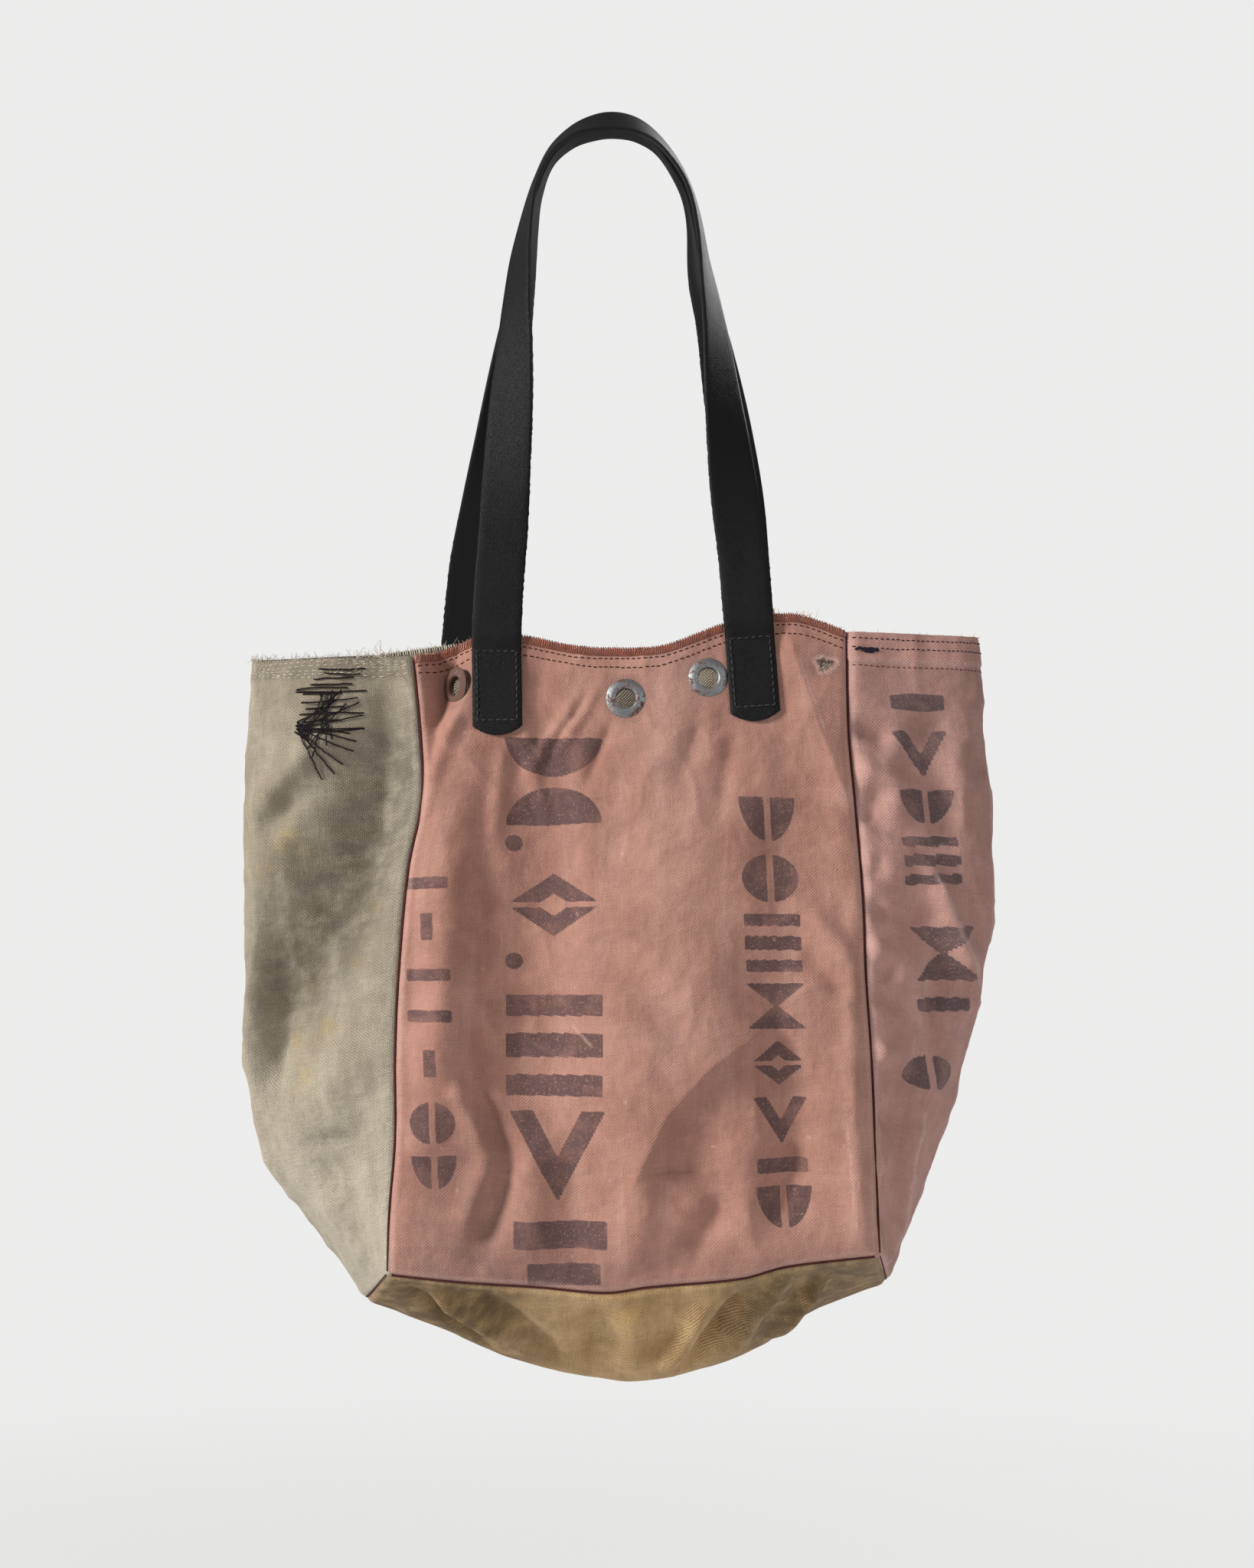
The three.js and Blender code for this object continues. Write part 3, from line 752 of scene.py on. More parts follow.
# The crease from the mouth to the right seam, and the turned-back corner at the left eyelet.
crease = [(112, -340), (131, -398), (149, -446)]
for a, b in legs(crease):
    f += ramp(X, Z, a, b, 10, 13, 3.4) * smooth(0, 6, front.sides())
corner_x, corner_z = np.array([(-88, -345), (-92, -365), (-99.6, -382), (-109.7, -400), (-118, -422),
                               (-122, -441), (-126, -460)]).T
turn = np.interp(-Z, -corner_z, corner_x)
turned = smooth(-462, -440, Z)
f -= TURN_DEPTH * np.clip((turn - X) / 16, 0, 1) * smooth(0, 17, X - front_left_x(Z)) * turned
f += 3.0 * bell(X - turn - 2, 5) * turned * smooth(-380, -394, Z)
front.push(f)
front.roll_edges()
front.paint["ink_and_hole_shade"] = np.maximum.reduce([
    stencil(X, Z, (-40.5, -402), 0.004, 32, [
        ("halves", 0, 56), ("dot", 61, 73, 0.2, -26), ("diamond", 86, 128), ("dot", 137, 149, 0.2, -26),
        ("bars", 164, 230), ("wedge", 238, 298, 1, 2), ("bar", 308, 327, 1, 4), ("bar", 335, 350, 0.8, 6)]),
    stencil(X, Z, (95.8, -441), 0.044, 19, [
        ("half", 0, 30), ("disc", 36, 68), ("bars", 74, 112), ("glass", 118, 148), ("diamond", 154, 184),
        ("wedge", 190, 222), ("bar", 229, 240), ("half", 247, 276)]),
    0.9 * stencil(X, Z, (-121, -492), 0.03, 17, [
        ("bar", 0, 9), ("bar", 22, 42, 0.28, 0), ("bar", 58, 67), ("bar", 84, 93),
        ("bar", 108, 128, 0.28, 0), ("disc", 142, 170, 0.9, 0), ("half", 176, 200, 0.9, 0)])])
wear_and_highlight = 0.55 * blot(X, Z, 147, -440, 30)
for a, b in [((-27, -587), (-16, -599)), ((146, -648), (153, -716)), ((118, -352), (134, -400))]:
    wear_and_highlight += 0.5 * bell(along(X, Z, a, b)[0], 0.9)
rng = np.random.default_rng(11)
for sx, sz in rng.uniform([-120, -740], [150, -360], (26, 2)):
    wear_and_highlight += 0.5 * (np.hypot(X - sx, Z - sz) < rng.uniform(0.7, 1.2))
# A pale band down the lit left flank of the ridge near x 50: a painted highlight.
wear_and_highlight += 0.25 * bell(X - 36, 26) * smooth(-640, -360, Z)
front.mark("wear_and_highlight", wear_and_highlight)
# Darker in a patch at the belly's edge, as painted shade, and also towards the bottom and down a strip near x
# -92.
front.mark("dirt_and_shade", 0.5 * blot(X, Z, 38, -592, 500) + 0.5 * smooth(-700, -755, Z)
           + 0.6 * smooth(60, 10, abs(X + 92)) * smooth(-600, -700, Z))
EYELETS["left"] = (EYELETS["left"][0] + LEFT_EYELET_SHIFT, EYELETS["left"][1])
for side_name, (x, z) in EYELETS.items():
    squeeze = 0.62 if side_name == "left" else 1.0  # the cloth is turned away there
    d = np.hypot((X - x) / squeeze, Z - z)
    front.keep &= (d > HOLE)[:-1, :-1]
    front.mark("dirt_and_shade", 0.55 * bell(d - 13, 2.6))
# The torn hole: a ragged edge, with painted shade in the ink colour round its rim for the dark inside, a pale
# worn ring round it, and a darker ring further out.
torn_at = np.arctan2(Z - TORN[1], X - TORN[0])
torn_edge = 2.3 + 0.8 * np.sin(3 * torn_at + 1) + 0.5 * np.sin(5 * torn_at)
torn_d = np.hypot((X - TORN[0]) * 0.75, Z - TORN[1])
past_edge = torn_d - torn_edge
front.keep &= (past_edge > 0)[:-1, :-1]
front.paint["ink_and_hole_shade"] = np.maximum(front.paint["ink_and_hole_shade"], smooth(1.9, 0.9, past_edge))
front.paint["wear_and_highlight"] *= smooth(0.5, 2, past_edge)
front.mark("wear_and_highlight", 0.9 * bell(past_edge - 3.0, 1.0))
front.mark("dirt_and_shade", 0.6 * bell(torn_d - 6, 4))
front_ob = front.build(pink)

back = Sheet("back_canvas", back_wall, 2.5, turned=True)
X, Z = back.x, back.z
BACK_FOLDS = [
    ((-90, -410), (-110, -700), 22, 5.0), ((60, -400), (90, -700), 24, -5.5),
    ((-10, -500), (-60, -740), 18, -5.0), ((110, -620), (20, -740), 14, 5.0),
    ((-120, -520), (-60, -600), 13, -4.0), ((20, -430), (50, -560), 16, 4.0),
    ((130, -430), (140, -560), 14, 4.0), ((-140, -640), (-90, -735), 12, 4.5),
    ((86, -560), (130, -620), 10, -3.5)]
f = folds(X, Z, BACK_FOLDS) + crumple(X, Z, (70, 1.3, 21), (26, 0.4, 22), (32, 1.6, 25), (13, 0.5, 26))
f *= smooth(2, 30, back.sides())
for middle in ((-105, -374), (93, -368)):
    f *= smooth(0, 16, tab_gap(X, Z, middle, 18, 31))
back.push(1.5 * f)
back.roll_edges()
back.mark("stain", waves(X, Z, 90, 0.25, 23))
back.mark("dirt_and_shade", 0.5 * smooth(-680, -760, Z) + waves(X, Z, 60, 0.1, 24))
back_ob = back.build(beige_back)

left = Sheet("left_gusset_canvas", left_gusset, 2.0, turned=True)
X, Z, U = left.x, left.z, left.u
near = smooth(0.62, 0.42, U)
far = 1 - near
LEFT_FOLDS = [  # on the front half, by x and z
    ((-232, -448), (-196, -410), 8, 6.5), ((-236, -470), (-204, -438), 10, -6.0),
    ((-200, -404), (-160, -396), 10, 3.0), ((-222, -486), (-178, -560), 9, 2.4),
    ((-160, -455), (-146, -520), 9, 2.4), ((-216, -640), (-152, -606), 18, 4.0),
    ((-196, -700), (-150, -640), 14, -4.0), ((-218, -700), (-176, -752), 9, -4.0),
    ((-190, -690), (-160, -745), 10, 3.5)]
f = near * folds(X, Z, LEFT_FOLDS)
valley = [(-128, -396), (-150, -446), (-172, -492), (-199, -546), (-232, -606)]
gap = np.minimum.reduce([along(X, Z, a, b)[0] for a, b in legs(valley)])
f -= 25.0 * bell(gap, 33) * smooth(0.50, 0.34, U)
f += far * folds(left.p, Z, [((150, -420), (185, -640), 18, 5), ((120, -560), (170, -720), 16, -5)])
f += crumple(left.p, Z, (55, 1.2, 31), (20, 0.3, 32), (30, 1.6, 35), (12, 0.5, 36))
left.push(f * smooth(0, 26, left.sides()))
hem = smooth(14.6, 13.2, left.q)
left.push(0.7 * hem + 0.45 * bell(left.q - 12, 2.0) * np.sin(left.p / 2.2)
          + wrinkle(left.p, left.q * 2.5, 9, 0.5, 34) * smooth(22, 12, left.q))
left.roll_edges()
left.mark("wear_and_highlight", 0.30 * near * smooth(-560, -700, Z))
blots = [(-213, -465, 6), (-219, -476, 4), (-204, -474, 4), (-161, -509, 5), (-206, -560, 6), (-190, -590, 7),
         (-215, -600, 7), (-172, -545, 4), (-203, -622, 7), (-228, -488, 5)]
left.mark("stain", sum(blot(X, Z, a, b, r**2) for a, b, r in blots) * near
          + far * np.clip(waves(left.p, Z, 90, 0.4, 33), 0, 1))
smudge = along(X, Z, (-196, -660), (-176, -656))[0]
# A smudge, a darker hem, painted shade along the valley, and darker towards the bottom.
left.mark("dirt_and_shade", 0.9 * near * bell(smudge, 5) + 0.8 * blot(X, Z, -181, -657, 14) + 0.45 * hem
          + near * smooth(-365, -400, Z) * smooth(-640, -540, Z) * bell(gap, 40)
          + 0.5 * smooth(-735, -775, Z))
left_ob = left.build(beige)

right = Sheet("right_gusset_canvas", right_gusset, 2.0)
X, Z, U = right.x, right.z, right.u
near, far = smooth(0.62, 0.42, U), smooth(0.42, 0.62, U)
f = np.zeros_like(X)
# Puckers along the front seam, and the dimples beside them.
for k, z in enumerate([-398, -424, -452, -482, -510, -535, -566, -600, -640, -672, -706]):
    slope, reach = 0.3 + 0.1 * (k % 3), 18 + 5 * (k % 3)
    height = 5.6 if k % 2 else -5.6
    f += height * bell(Z - z + (X - 158) * slope, 7.5) * bell(np.maximum(right.p - 6, 0), reach)
for x, z in ((171, -404), (168, -440), (166, -486), (174, -550), (176, -618)):
    f -= 5.5 * near * bell(X - x, 7) * bell(Z - z, 9)
RIGHT_FOLDS = [
    ((203, -488), (232, -560), 7, 7.5), ((190, -500), (214, -590), 12, -7.0),
    ((196, -640), (178, -735), 6, 6.0), ((186, -610), (172, -700), 8, -5.0),
    ((200, -380), (212, -480), 16, -4.5), ((172, -400), (180, -470), 12, 4.0),
    ((220, -400), (226, -470), 10, 3.5), ((214, -560), (200, -640), 10, 4.5),
    ((206, -700), (186, -745), 7, -3.5)]
f += near * folds(X, Z, RIGHT_FOLDS)
f += far * folds(right.p, Z, [((140, -430), (160, -650), 18, 5), ((185, -500), (170, -700), 14, -5)])
f += crumple(right.p, Z, (55, 1.1, 41), (20, 0.3, 42), (28, 1.6, 43), (12, 0.5, 44))
right.push(f * smooth(0, 9, right.sides()))
hem = smooth(20.2, 19.0, right.q)
right.push(0.9 * hem + 0.25 * bell(right.q - 12, 7) * np.sin(right.p / 3.0))
right.roll_edges()
right.mark("wear_and_highlight", 0.8 * bell(right.q - 19.2, 0.9)
           + 0.5 * bell(along(X, Z, (204, -490), (234, -562))[0], 1.3) * near
           + 0.55 * bell(along(X, Z, (196, -645), (177, -735))[0], 1.2) * near
           + 0.6 * bell(U - 0.475, 0.006) * smooth(-400, -440, Z))
# Painted shade towards the outer fold, under the hem at the top and over the back half, and darker towards
# the bottom.
right.mark("dirt_and_shade", 0.16 * smooth(180, 235, X) * near + 0.4 * near * smooth(-470, -370, Z) * (right.q > 20)
           + 0.7 * far + 0.5 * smooth(-700, -765, Z))
right.paint["ink_and_hole_shade"] = near * stencil(X, Z, (194.5, -374), 0.08, 20, [
    ("bar", 0, 12), ("wedge", 24, 56), ("half", 62, 86), ("bars", 92, 124), ("glass", 150, 186, 1, 4),
    ("bar", 196, 206), ("disc", 232, 256, 0.8, -14)])
right_ob = right.build(pink_side_painted_lighter)

base = Sheet("bottom_canvas", bottom, 2.0)
X, Y, V = base.x, base.base[..., 1], base.v
BASE_FOLDS = [  # by x and y
    ((-120, -72), (-60, -25), 8, 6.5), ((-136, -60), (-86, -15), 7, -6.5), ((-96, -74), (-34, -22), 9, -4.5),
    ((60, -70), (26, -18), 8, 7.0), ((84, -72), (46, -18), 7, -7.5), ((104, -70), (70, -16), 7, 5.0),
    ((134, -60), (98, -14), 7, 6.0), ((-20, -74), (-8, -16), 14, -4.5), ((10, -74), (14, -20), 11, 4.0),
    ((-120, 10), (-60, 45), 12, 5.0), ((60, 10), (100, 46), 12, -5.0), ((-20, 12), (10, 50), 12, 4.0)]
f = 1.6 * folds(X, Y, BASE_FOLDS)
f += waves(X, Y * 1.4, 40, 1.0, 51) + waves(X, Y, 16, 0.3, 52) + wrinkle(X, Y, 24, 1.4, 54)
base.push(f * smooth(1, 22, base.sides(top=True)) * (1 - 0.7 * bell(V - 0.5, 0.12)))
base.roll_edges(top=True)
base.paint["wear_and_highlight"] *= 0.6
base.mark("wear_and_highlight", 0.45 * bell(V - 0.5, 0.025) * smooth(0.5, 0.9, 1 - abs(base.u - 0.5)))
# Painted shade: darker at both ends and over the back half.
base.mark("dirt_and_shade", 1.15 * smooth(-20, -100, X) + 0.5 * smooth(0.5, 0.75, V) + 1.15 * smooth(40, 110, X))
base.mark("stain", waves(X, Y, 60, 0.5, 53))
base_ob = base.build(gold)


# ---------------------------------------------------------------- leather handles
STRAP_W, STRAP_T, TAB_L = 32, 2.8, 58
TIP_SAG = 6.0  # the sewn end is an arc that reaches this far past its corners
# tabs: where each sewn end meets the hinge line, and its lean. bearings: which way its width runs there.
# rows: x, y, z, bearing and tilt of the width, along the free loop.
# pivot, lift: a point on the hinge line, and the way up the strap there.
STRAPS = {
    "front": dict(
        out=-1, depth=front_y,
        tabs=[(-77.5, -343, 0.02), (86, -334, 0.07)],
        bearings=(180, 0),
        rows=[[-77.3, -50.3, -334, 180, 0], [-76.3, -45, -306, 180, 0], [-73.5, -38.5, -267, 178, 0],
              [-71.5, -34.5, -228, 166, 0], [-69.2, -31.5, -189, 155, 0], [-66.8, -29, -150, 138, 0],
              [-65.6, -27, -121, 126, 2], [-62.8, -25, -85, 113, 5], [-58.4, -23, -58, 101, 9],
              [-52.6, -21.5, -36, 94, 13], [-42.5, -20.5, -16.5, 91, 18], [-28, -20, -4, 90, 24],
              [-12, -19.5, 1.6, 90, 31], [1, -19.5, 2.2, 90, 32], [14, -19.5, -1.2, 90, 29],
              [27, -20, -10, 90, 22], [38.6, -21, -24, 88, 16], [47.2, -22, -40, 86, 11],
              [53, -23.5, -60, 84, 6], [57.6, -25, -89, 78, 3], [62.6, -27.5, -120, 66, 0],
              [65.6, -29.5, -142, 58, 0], [69.4, -32, -178, 44, 0], [73, -34.5, -210, 29, 0],
              [78.2, -37.5, -254, 8, 0], [82, -42, -285, 2, 0], [85.2, -49.6, -325, 0, 0]],
        pivot=(4.25, -52.05, -337.2), lift=(-0.055, 0, 0.9985)),
    "back": dict(
        out=1, depth=back_y,
        tabs=[(-104, -345, -0.04), (92, -339, 0.04)],
        bearings=(0, 180),
        rows=[[-103.4, 55.5, -336, 0, 0], [-101, 52, -312, 0, 0], [-97, 46, -281, 2, 0],
              [-89.5, 40, -245, 8, 0], [-79.5, 33, -196, 24, 0], [-70.6, 27.5, -143, 46, 0],
              [-62.4, 23.5, -95, 66, 0], [-56.6, 21, -58, 80, 0], [-52.4, 19.8, -37, 87, 0],
              [-43.6, 19.2, -15.4, 90, 0], [-29.4, 19, -2.6, 90, 0], [-13.4, 19, 2.6, 90, 0],
              [0, 19, 3.6, 90, 0], [13, 19, 1.4, 90, 0], [26.4, 19, -6.6, 90, 0], [37.6, 19.2, -22, 90, 0],
              [45.6, 20, -38, 92, 0], [50, 21, -58, 96, 0], [53.6, 23.5, -93, 106, 0],
              [63, 26, -125, 122, 0], [70, 29.5, -160, 138, 0], [77, 34, -200, 156, 0],
              [84, 40, -245, 172, 0], [88, 48.5, -288, 178, 0], [91.6, 55.4, -330, 180, 0]],
        pivot=(-6.0, 57.4, -340.9), lift=(-0.0306, 0, 0.9995)),
}
TAB_OFF = 2.3  # the leather's middle stands this far off the cloth's middle
GRAIN, FLESH, EDGE = 0, 1, 2  # slots of STRAP_MATERIALS


class Strap:
    """One handle: its middle line, its width and face directions, and half its width along its length."""

    def __init__(self, spec, step=1.6):
        ends = []
        for (x0, z0, lean), bearing in zip(spec["tabs"], spec["bearings"]):
            places = [(x0 + lean * down, z0 - down) for down in (TAB_L, 50, 40, 30, 20, 11, 4)]
            ends.append([[x, spec["depth"](x, z) + spec["out"] * TAB_OFF, z, bearing, 0] for x, z in places])
        rows = np.array(ends[0] + spec["rows"] + ends[1][::-1], float)
        s = np.concatenate([[0], np.cumsum(np.linalg.norm(np.diff(rows[:, :3], axis=0), axis=1))])
        self.length = s[-1]
        tip = np.linspace(0, TIP_SAG + 0.5, 14)
        middle = np.linspace(tip[-1], self.length - tip[-1], int(self.length / step))[1:-1]
        self.s = np.concatenate([tip, middle, self.length - tip[::-1]])
        path = spline(np.column_stack([s, rows]))(self.s)
        self.C = path[:, :3]
        T = np.gradient(self.C, self.s, axis=0)
        T /= np.linalg.norm(T, axis=1, keepdims=True)
        a, e = np.radians(path[:, 3]), np.radians(path[:, 4])
        W = np.stack([np.cos(a) * np.cos(e), np.sin(a) * np.cos(e), np.sin(e)], 1)
        W -= T * (W * T).sum(1, keepdims=True)
        self.W = W / np.linalg.norm(W, axis=1, keepdims=True)
        self.N = np.cross(T, self.W)
        into_tip = np.clip(self.from_end(0), 0.15, TIP_SAG)
        arc = ((STRAP_W / 2) ** 2 + TIP_SAG**2) / (2 * TIP_SAG)
        self.half = np.sqrt(into_tip * (2 * arc - into_tip))

    def from_end(self, mark):
        """Distance along the strap from the mark that lies this far from the nearer end."""
        return np.minimum(abs(self.s - mark), abs(self.length - self.s - mark))

    def point(self, s, a, b):
        i = np.clip(np.searchsorted(self.s, s) - 1, 0, len(self.s) - 2)
        t = (s - self.s[i]) / (self.s[i + 1] - self.s[i])
        centre, wide, out = (F[i] * (1 - t) + F[i + 1] * t for F in (self.C, self.W, self.N))
        return centre + wide * a + out * b

    def build(self, name):
        t = STRAP_T / 2
        across = np.linspace(-1, 1, 11)
        loop = [(a, t if abs(a) < 1 else t - 0.55, 0) for a in across]  # the grain face, then the flesh face
        loop += [(a, -t if abs(a) < 1 else -t + 0.45, 1) for a in across[::-1]]
        g = np.random.default_rng(5)
        n, m = len(self.s), len(loop)
        verts, uv = np.empty((n, m, 3)), np.empty((n, m, 2))
        dent = 0.35 * bell(self.from_end(TAB_L - 1), 1.1)
        for k, (a, b, face) in enumerate(loop):
            a_mm, b_mm = a * self.half, np.full(n, b)
            if abs(a) < 1:
                a_mm = np.sign(a) * np.minimum(abs(a) * self.half * 1.14, self.half - 0.45)
                b_mm += 0.1 * np.sin(self.s / 7 + a * 2) if abs(a) < 0.9 else 0
            elif face:
                a_mm = a_mm + g.normal(0, 0.16, n) * np.sign(a)
            b_mm -= dent if b > 0 else 0
            verts[:, k] = self.C + self.W * a_mm[:, None] + self.N * b_mm[:, None]
            uv[:, k] = np.stack([a * self.half if abs(a) == 1 else a_mm, self.s], 1)
            uv[:, k, 0] += 40 * face
        faces, slots = [], []
        for i in range(n - 1):
            for k in range(m):
                j = (k + 1) % m
                faces.append([i * m + k, i * m + j, (i + 1) * m + j, (i + 1) * m + k])
                slots.append(EDGE if k in (10, 21) else GRAIN if k < 10 else FLESH)
        faces += [list(range(m))[::-1], [(n - 1) * m + k for k in range(m)]]
        slots += [EDGE, EDGE]
        ob = make_object(name, verts.reshape(-1, 3), faces)
        set_uv(ob.data, "Strap", uv.reshape(-1, 2))
        for mat in STRAP_MATERIALS:
            ob.data.materials.append(mat)
        ob.data.polygons.foreach_set("material_index", np.array(slots, np.int32))
        bpy.context.view_layer.update()
        return ob


STITCH_INSET, STITCH_LOW, STITCH_LONG, STITCH_GAP = 3.3, 9.5, 3.3, 1.3


def tab_stitches(strap, tubes):
    """A box of stitches on each sewn end; the row across its top is at the hinge."""
    half, top = STRAP_W / 2 - STITCH_INSET, TAB_L - 3
    box = np.array([(top, -half), (STITCH_LOW, -half), (STITCH_LOW, half), (top, half), (top, -half)])
    run = np.concatenate([[0], np.cumsum(abs(np.diff(box, axis=0)).sum(1))])
    for from_start in (True, False):
        normal = strap.N[2] if from_start else strap.N[-3]
        for t0 in np.arange(0.4, run[-1] - STITCH_LONG, STITCH_LONG + STITCH_GAP):
            points = []
            for k, t in enumerate(np.linspace(t0, t0 + STITCH_LONG, 5)):
                down, a = np.interp(t, run, box[:, 0]), np.interp(t, run, box[:, 1])
                s = down if from_start else strap.length - down
                dive = 0.8 if k in (0, 4) else 0
                points.append(strap.point(s, a + 0.25 * (k - 2) / 2, STRAP_T / 2 + 0.34) - normal * dive)
            tubes.add(points, 0.46, 6)


for side_name, spec in STRAPS.items():
    strap = Strap(spec)
    spec["ob"] = strap.build(side_name + "_handle_leather")
    tubes = Tubes(side_name + "_handle_stitching", black_thread_painted_sheen)
    tab_stitches(strap, tubes)
    spec["stitches"] = tubes.build()


# ---------------------------------------------------------------- eyelets
def lathe(name, profile, place, normal, material, steps=64, dent=0.0):
    """A ring turned from (radius, height) points; dent puts it slightly out of round."""
    axis = Vector(normal).normalized()
    side = axis.orthogonal().normalized()
    axis, side, third = np.array(axis), np.array(side), np.array(axis.cross(side))
    verts, faces, m = [], [], len(profile)
    for i in range(steps):
        turn = 2 * math.pi * i / steps
        spoke = (side * math.cos(turn) + third * math.sin(turn)) * (1 + dent * math.sin(3 * turn + place[0]))
        lift = dent * 6 * math.sin(2 * turn + place[2])
        verts += [place + spoke * radius + axis * (height + lift) for radius, height in profile]
        here, there = i * m, (i + 1) % steps * m
        for k in range(m):
            j = (k + 1) % m
            faces.append([here + k, there + k, there + j, here + j])
    ob = make_object(name, verts, faces)
    ob.data.materials.append(material)
    return ob


FLANGE = [(6.35, -2.6), (6.3, 0.4), (6.45, 1.25), (6.9, 1.85), (7.6, 2.15), (8.84, 2.2), (9.88, 2.0),
          (11.024, 1.55), (11.96, 1.15), (12.584, 0.85), (12.792, 0.65), (12.584, 0.55), (9.36, 0.55),
          (7.0, 0.3), (6.95, -2.6)]
WASHER = [(7.5, -0.75), (12.0, -0.75), (12.15, -1.1), (12.0, -1.4), (9.5, -1.85), (7.8, -1.8), (7.45, -1.4)]
LEFT_EYELET_TURN = math.radians(53)  # the left eyelet sits on the corner that turns back
SEAT_R = 10.5  # an eyelet lies flat on the cloth at this radius
eyelet_obs = []
for side_name, (x, z) in EYELETS.items():
    cloth = np.array([front.seen_from_front(x + SEAT_R * math.cos(a), z + SEAT_R * math.sin(a))[0]
                      for a in np.arange(0, 6.28, 0.39)])
    centre = cloth.mean(0)
    normal = np.linalg.svd(cloth - centre)[2][2]
    normal *= -np.sign(normal[1])
    if side_name == "left":
        normal = np.array([-math.sin(LEFT_EYELET_TURN), -math.cos(LEFT_EYELET_TURN), 0.10])
        centre = centre + 1.1 * normal
    plating = rusty_zinc if side_name == "left" else zinc
    shell = lathe(side_name + "_eyelet_shell", FLANGE, centre, normal, plating, dent=0.006)
    ring = lathe(side_name + "_eyelet_ring", WASHER, centre, normal, zinc, 48)
    eyelet_obs += [(side_name + "_eyelet", shell), (side_name + "_eyelet_washer", ring)]


# ---------------------------------------------------------------- stitching and frayed edges
threads = {name: Tubes(name, material) for name, material in (
    ("front_rim_overlock", rust_thread), ("front_rim_topstitch", maroon_thread),
    ("front_rim_fray", pink_fray), ("torn_hole_fray", cream_thread), ("back_rim_overlock", cream_thread),
    ("back_rim_topstitch", cream_thread), ("back_rim_fray", cream_thread),
    ("left_hem_stitching", cream_thread), ("left_hem_fray", cream_thread),
    ("right_hem_navy_stitching", navy_thread), ("right_hem_brown_stitching", maroon_thread),
    ("right_hem_fray", pink_fray), ("front_seam_thread", maroon_thread), ("back_seam_thread", cream_thread),
    ("bottom_seam_thread", maroon_thread), ("hand_darning", darn_thread))}


def stitch_row(name, sheet, q, inset, seed, long=3.4, gap=0.7, radius=0.40, wander=0.25):
    """A row of stitches q mm below a panel's upper edge."""
    g = np.random.default_rng(seed + int(q * 10))
    p = inset
    while p + long < sheet.width - inset:
        length = long * g.uniform(0.85, 1.1)
        ps = np.linspace(p, p + length, 5)
        qs = q + g.normal(0, wander * 0.4) + wander * np.sin(ps / 17 + seed)
        threads[name].add(sheet.sample(ps, qs, np.array([-0.25, 0.67, 0.76, 0.67, -0.25])), radius)
        p += length + gap


def overlock(name, sheet, pitch=1.6, reach=4.5, seed=1):
    """Loops wrapped over a raw edge, and the zigzag lines that hold their ends on both faces."""
    g = np.random.default_rng(seed)
    p = 1.5
    while p < sheet.width - 3:
        at = p + g.normal(0, 0.16)
        r = reach + g.normal(0, 0.35)
        path = [sheet.sample(at + run, q, off) for run, q, off in (
            (0, r, 0.85), (0.7, 2.4, 1.05), (1.0, 0.1, 0.95),
            (1.5, 0.1, -0.95), (1.9, 2.4, -1.05), (2.6, r, -0.85))]
        top = sheet.sample(at + 1.2, 0.0)
        up = top - sheet.sample(at + 1.2, 4.0)
        path.insert(3, top + up / np.linalg.norm(up) * 0.75)  # over the raw edge, halfway along
        threads[name].add(path, 0.40 * g.uniform(0.8, 1.15))
        p += pitch * g.uniform(0.8, 1.2)
    ps = np.arange(1, sheet.width - 1, 0.7)
    zigzag = reach + 0.55 * np.where(np.arange(len(ps)) % 2, 1, -1)
    for off in (0.95, -0.95):
        threads[name].add(sheet.sample(ps, zigzag, np.full(len(ps), off)), 0.3, 4)


def fray(name, sheet, spots, length, radius=0.13, seed=3, lean=1.0):
    """Loose fibre ends standing out of the cloth at (p, q) spots."""
    g = np.random.default_rng(seed)
    for p, q in spots:
        up = sheet.sample(p, q) - sheet.sample(p, q + 5)
        up = up / np.linalg.norm(up)
        out = sheet.sample(p, q, 1.0) - sheet.sample(p, q)
        way = up * g.uniform(0.2, 1) + out * g.normal(0, 0.6) + g.normal(0, 0.6, 3) * lean
        way /= np.linalg.norm(way)
        bend = g.normal(0, 0.7, 3)
        long = g.uniform(*length)
        t = np.linspace(0, 1, 5)[:, None]
        threads[name].add(sheet.sample(p, q, 0.4) + way * t * long + bend * (t**2) * long * 0.45,
                          radius * g.uniform(0.7, 1.4), 3, taper=True)


g = np.random.default_rng(8)


def spread(sheet, count):
    """Random places along a panel's upper edge."""
    return g.uniform(2, sheet.width - 2, count)


overlock("front_rim_overlock", front)
overlock("back_rim_overlock", back, seed=4, pitch=1.7)
for name, sheet, q, seed in (
        ("front_rim_topstitch", front, 7.0, 2), ("front_rim_topstitch", front, 12.4, 5),
        ("back_rim_topstitch", back, 8, 6), ("back_rim_topstitch", back, 13, 7)):
    stitch_row(name, sheet, q, 2, seed)
for k, q in enumerate((2.6, 5.0, 7.6, 10.2, 12.6)):
    stitch_row("left_hem_stitching", left, q, 3, 20 + k, long=4.2, radius=0.3, wander=0.9)
stitch_row("right_hem_navy_stitching", right, 4.4, 3, 30, long=2.6, gap=1.0)
stitch_row("right_hem_navy_stitching", right, 10.8, 3, 31, long=2.6, gap=1.0)
stitch_row("right_hem_brown_stitching", right, 23.2, 3, 32, long=2.8, gap=0.9, radius=0.28)

fray("front_rim_fray", front, [(p, g.uniform(0, 3)) for p in spread(front, 420)], (1, 2.8))
clumps = [(g.normal(share * front.width, wide), 0) for share, wide, count in ((0.90, 3, 22), (0.835, 2, 12))
          for _ in range(count)]
fray("front_rim_fray", front, clumps, (2, 6), 0.17, seed=9)

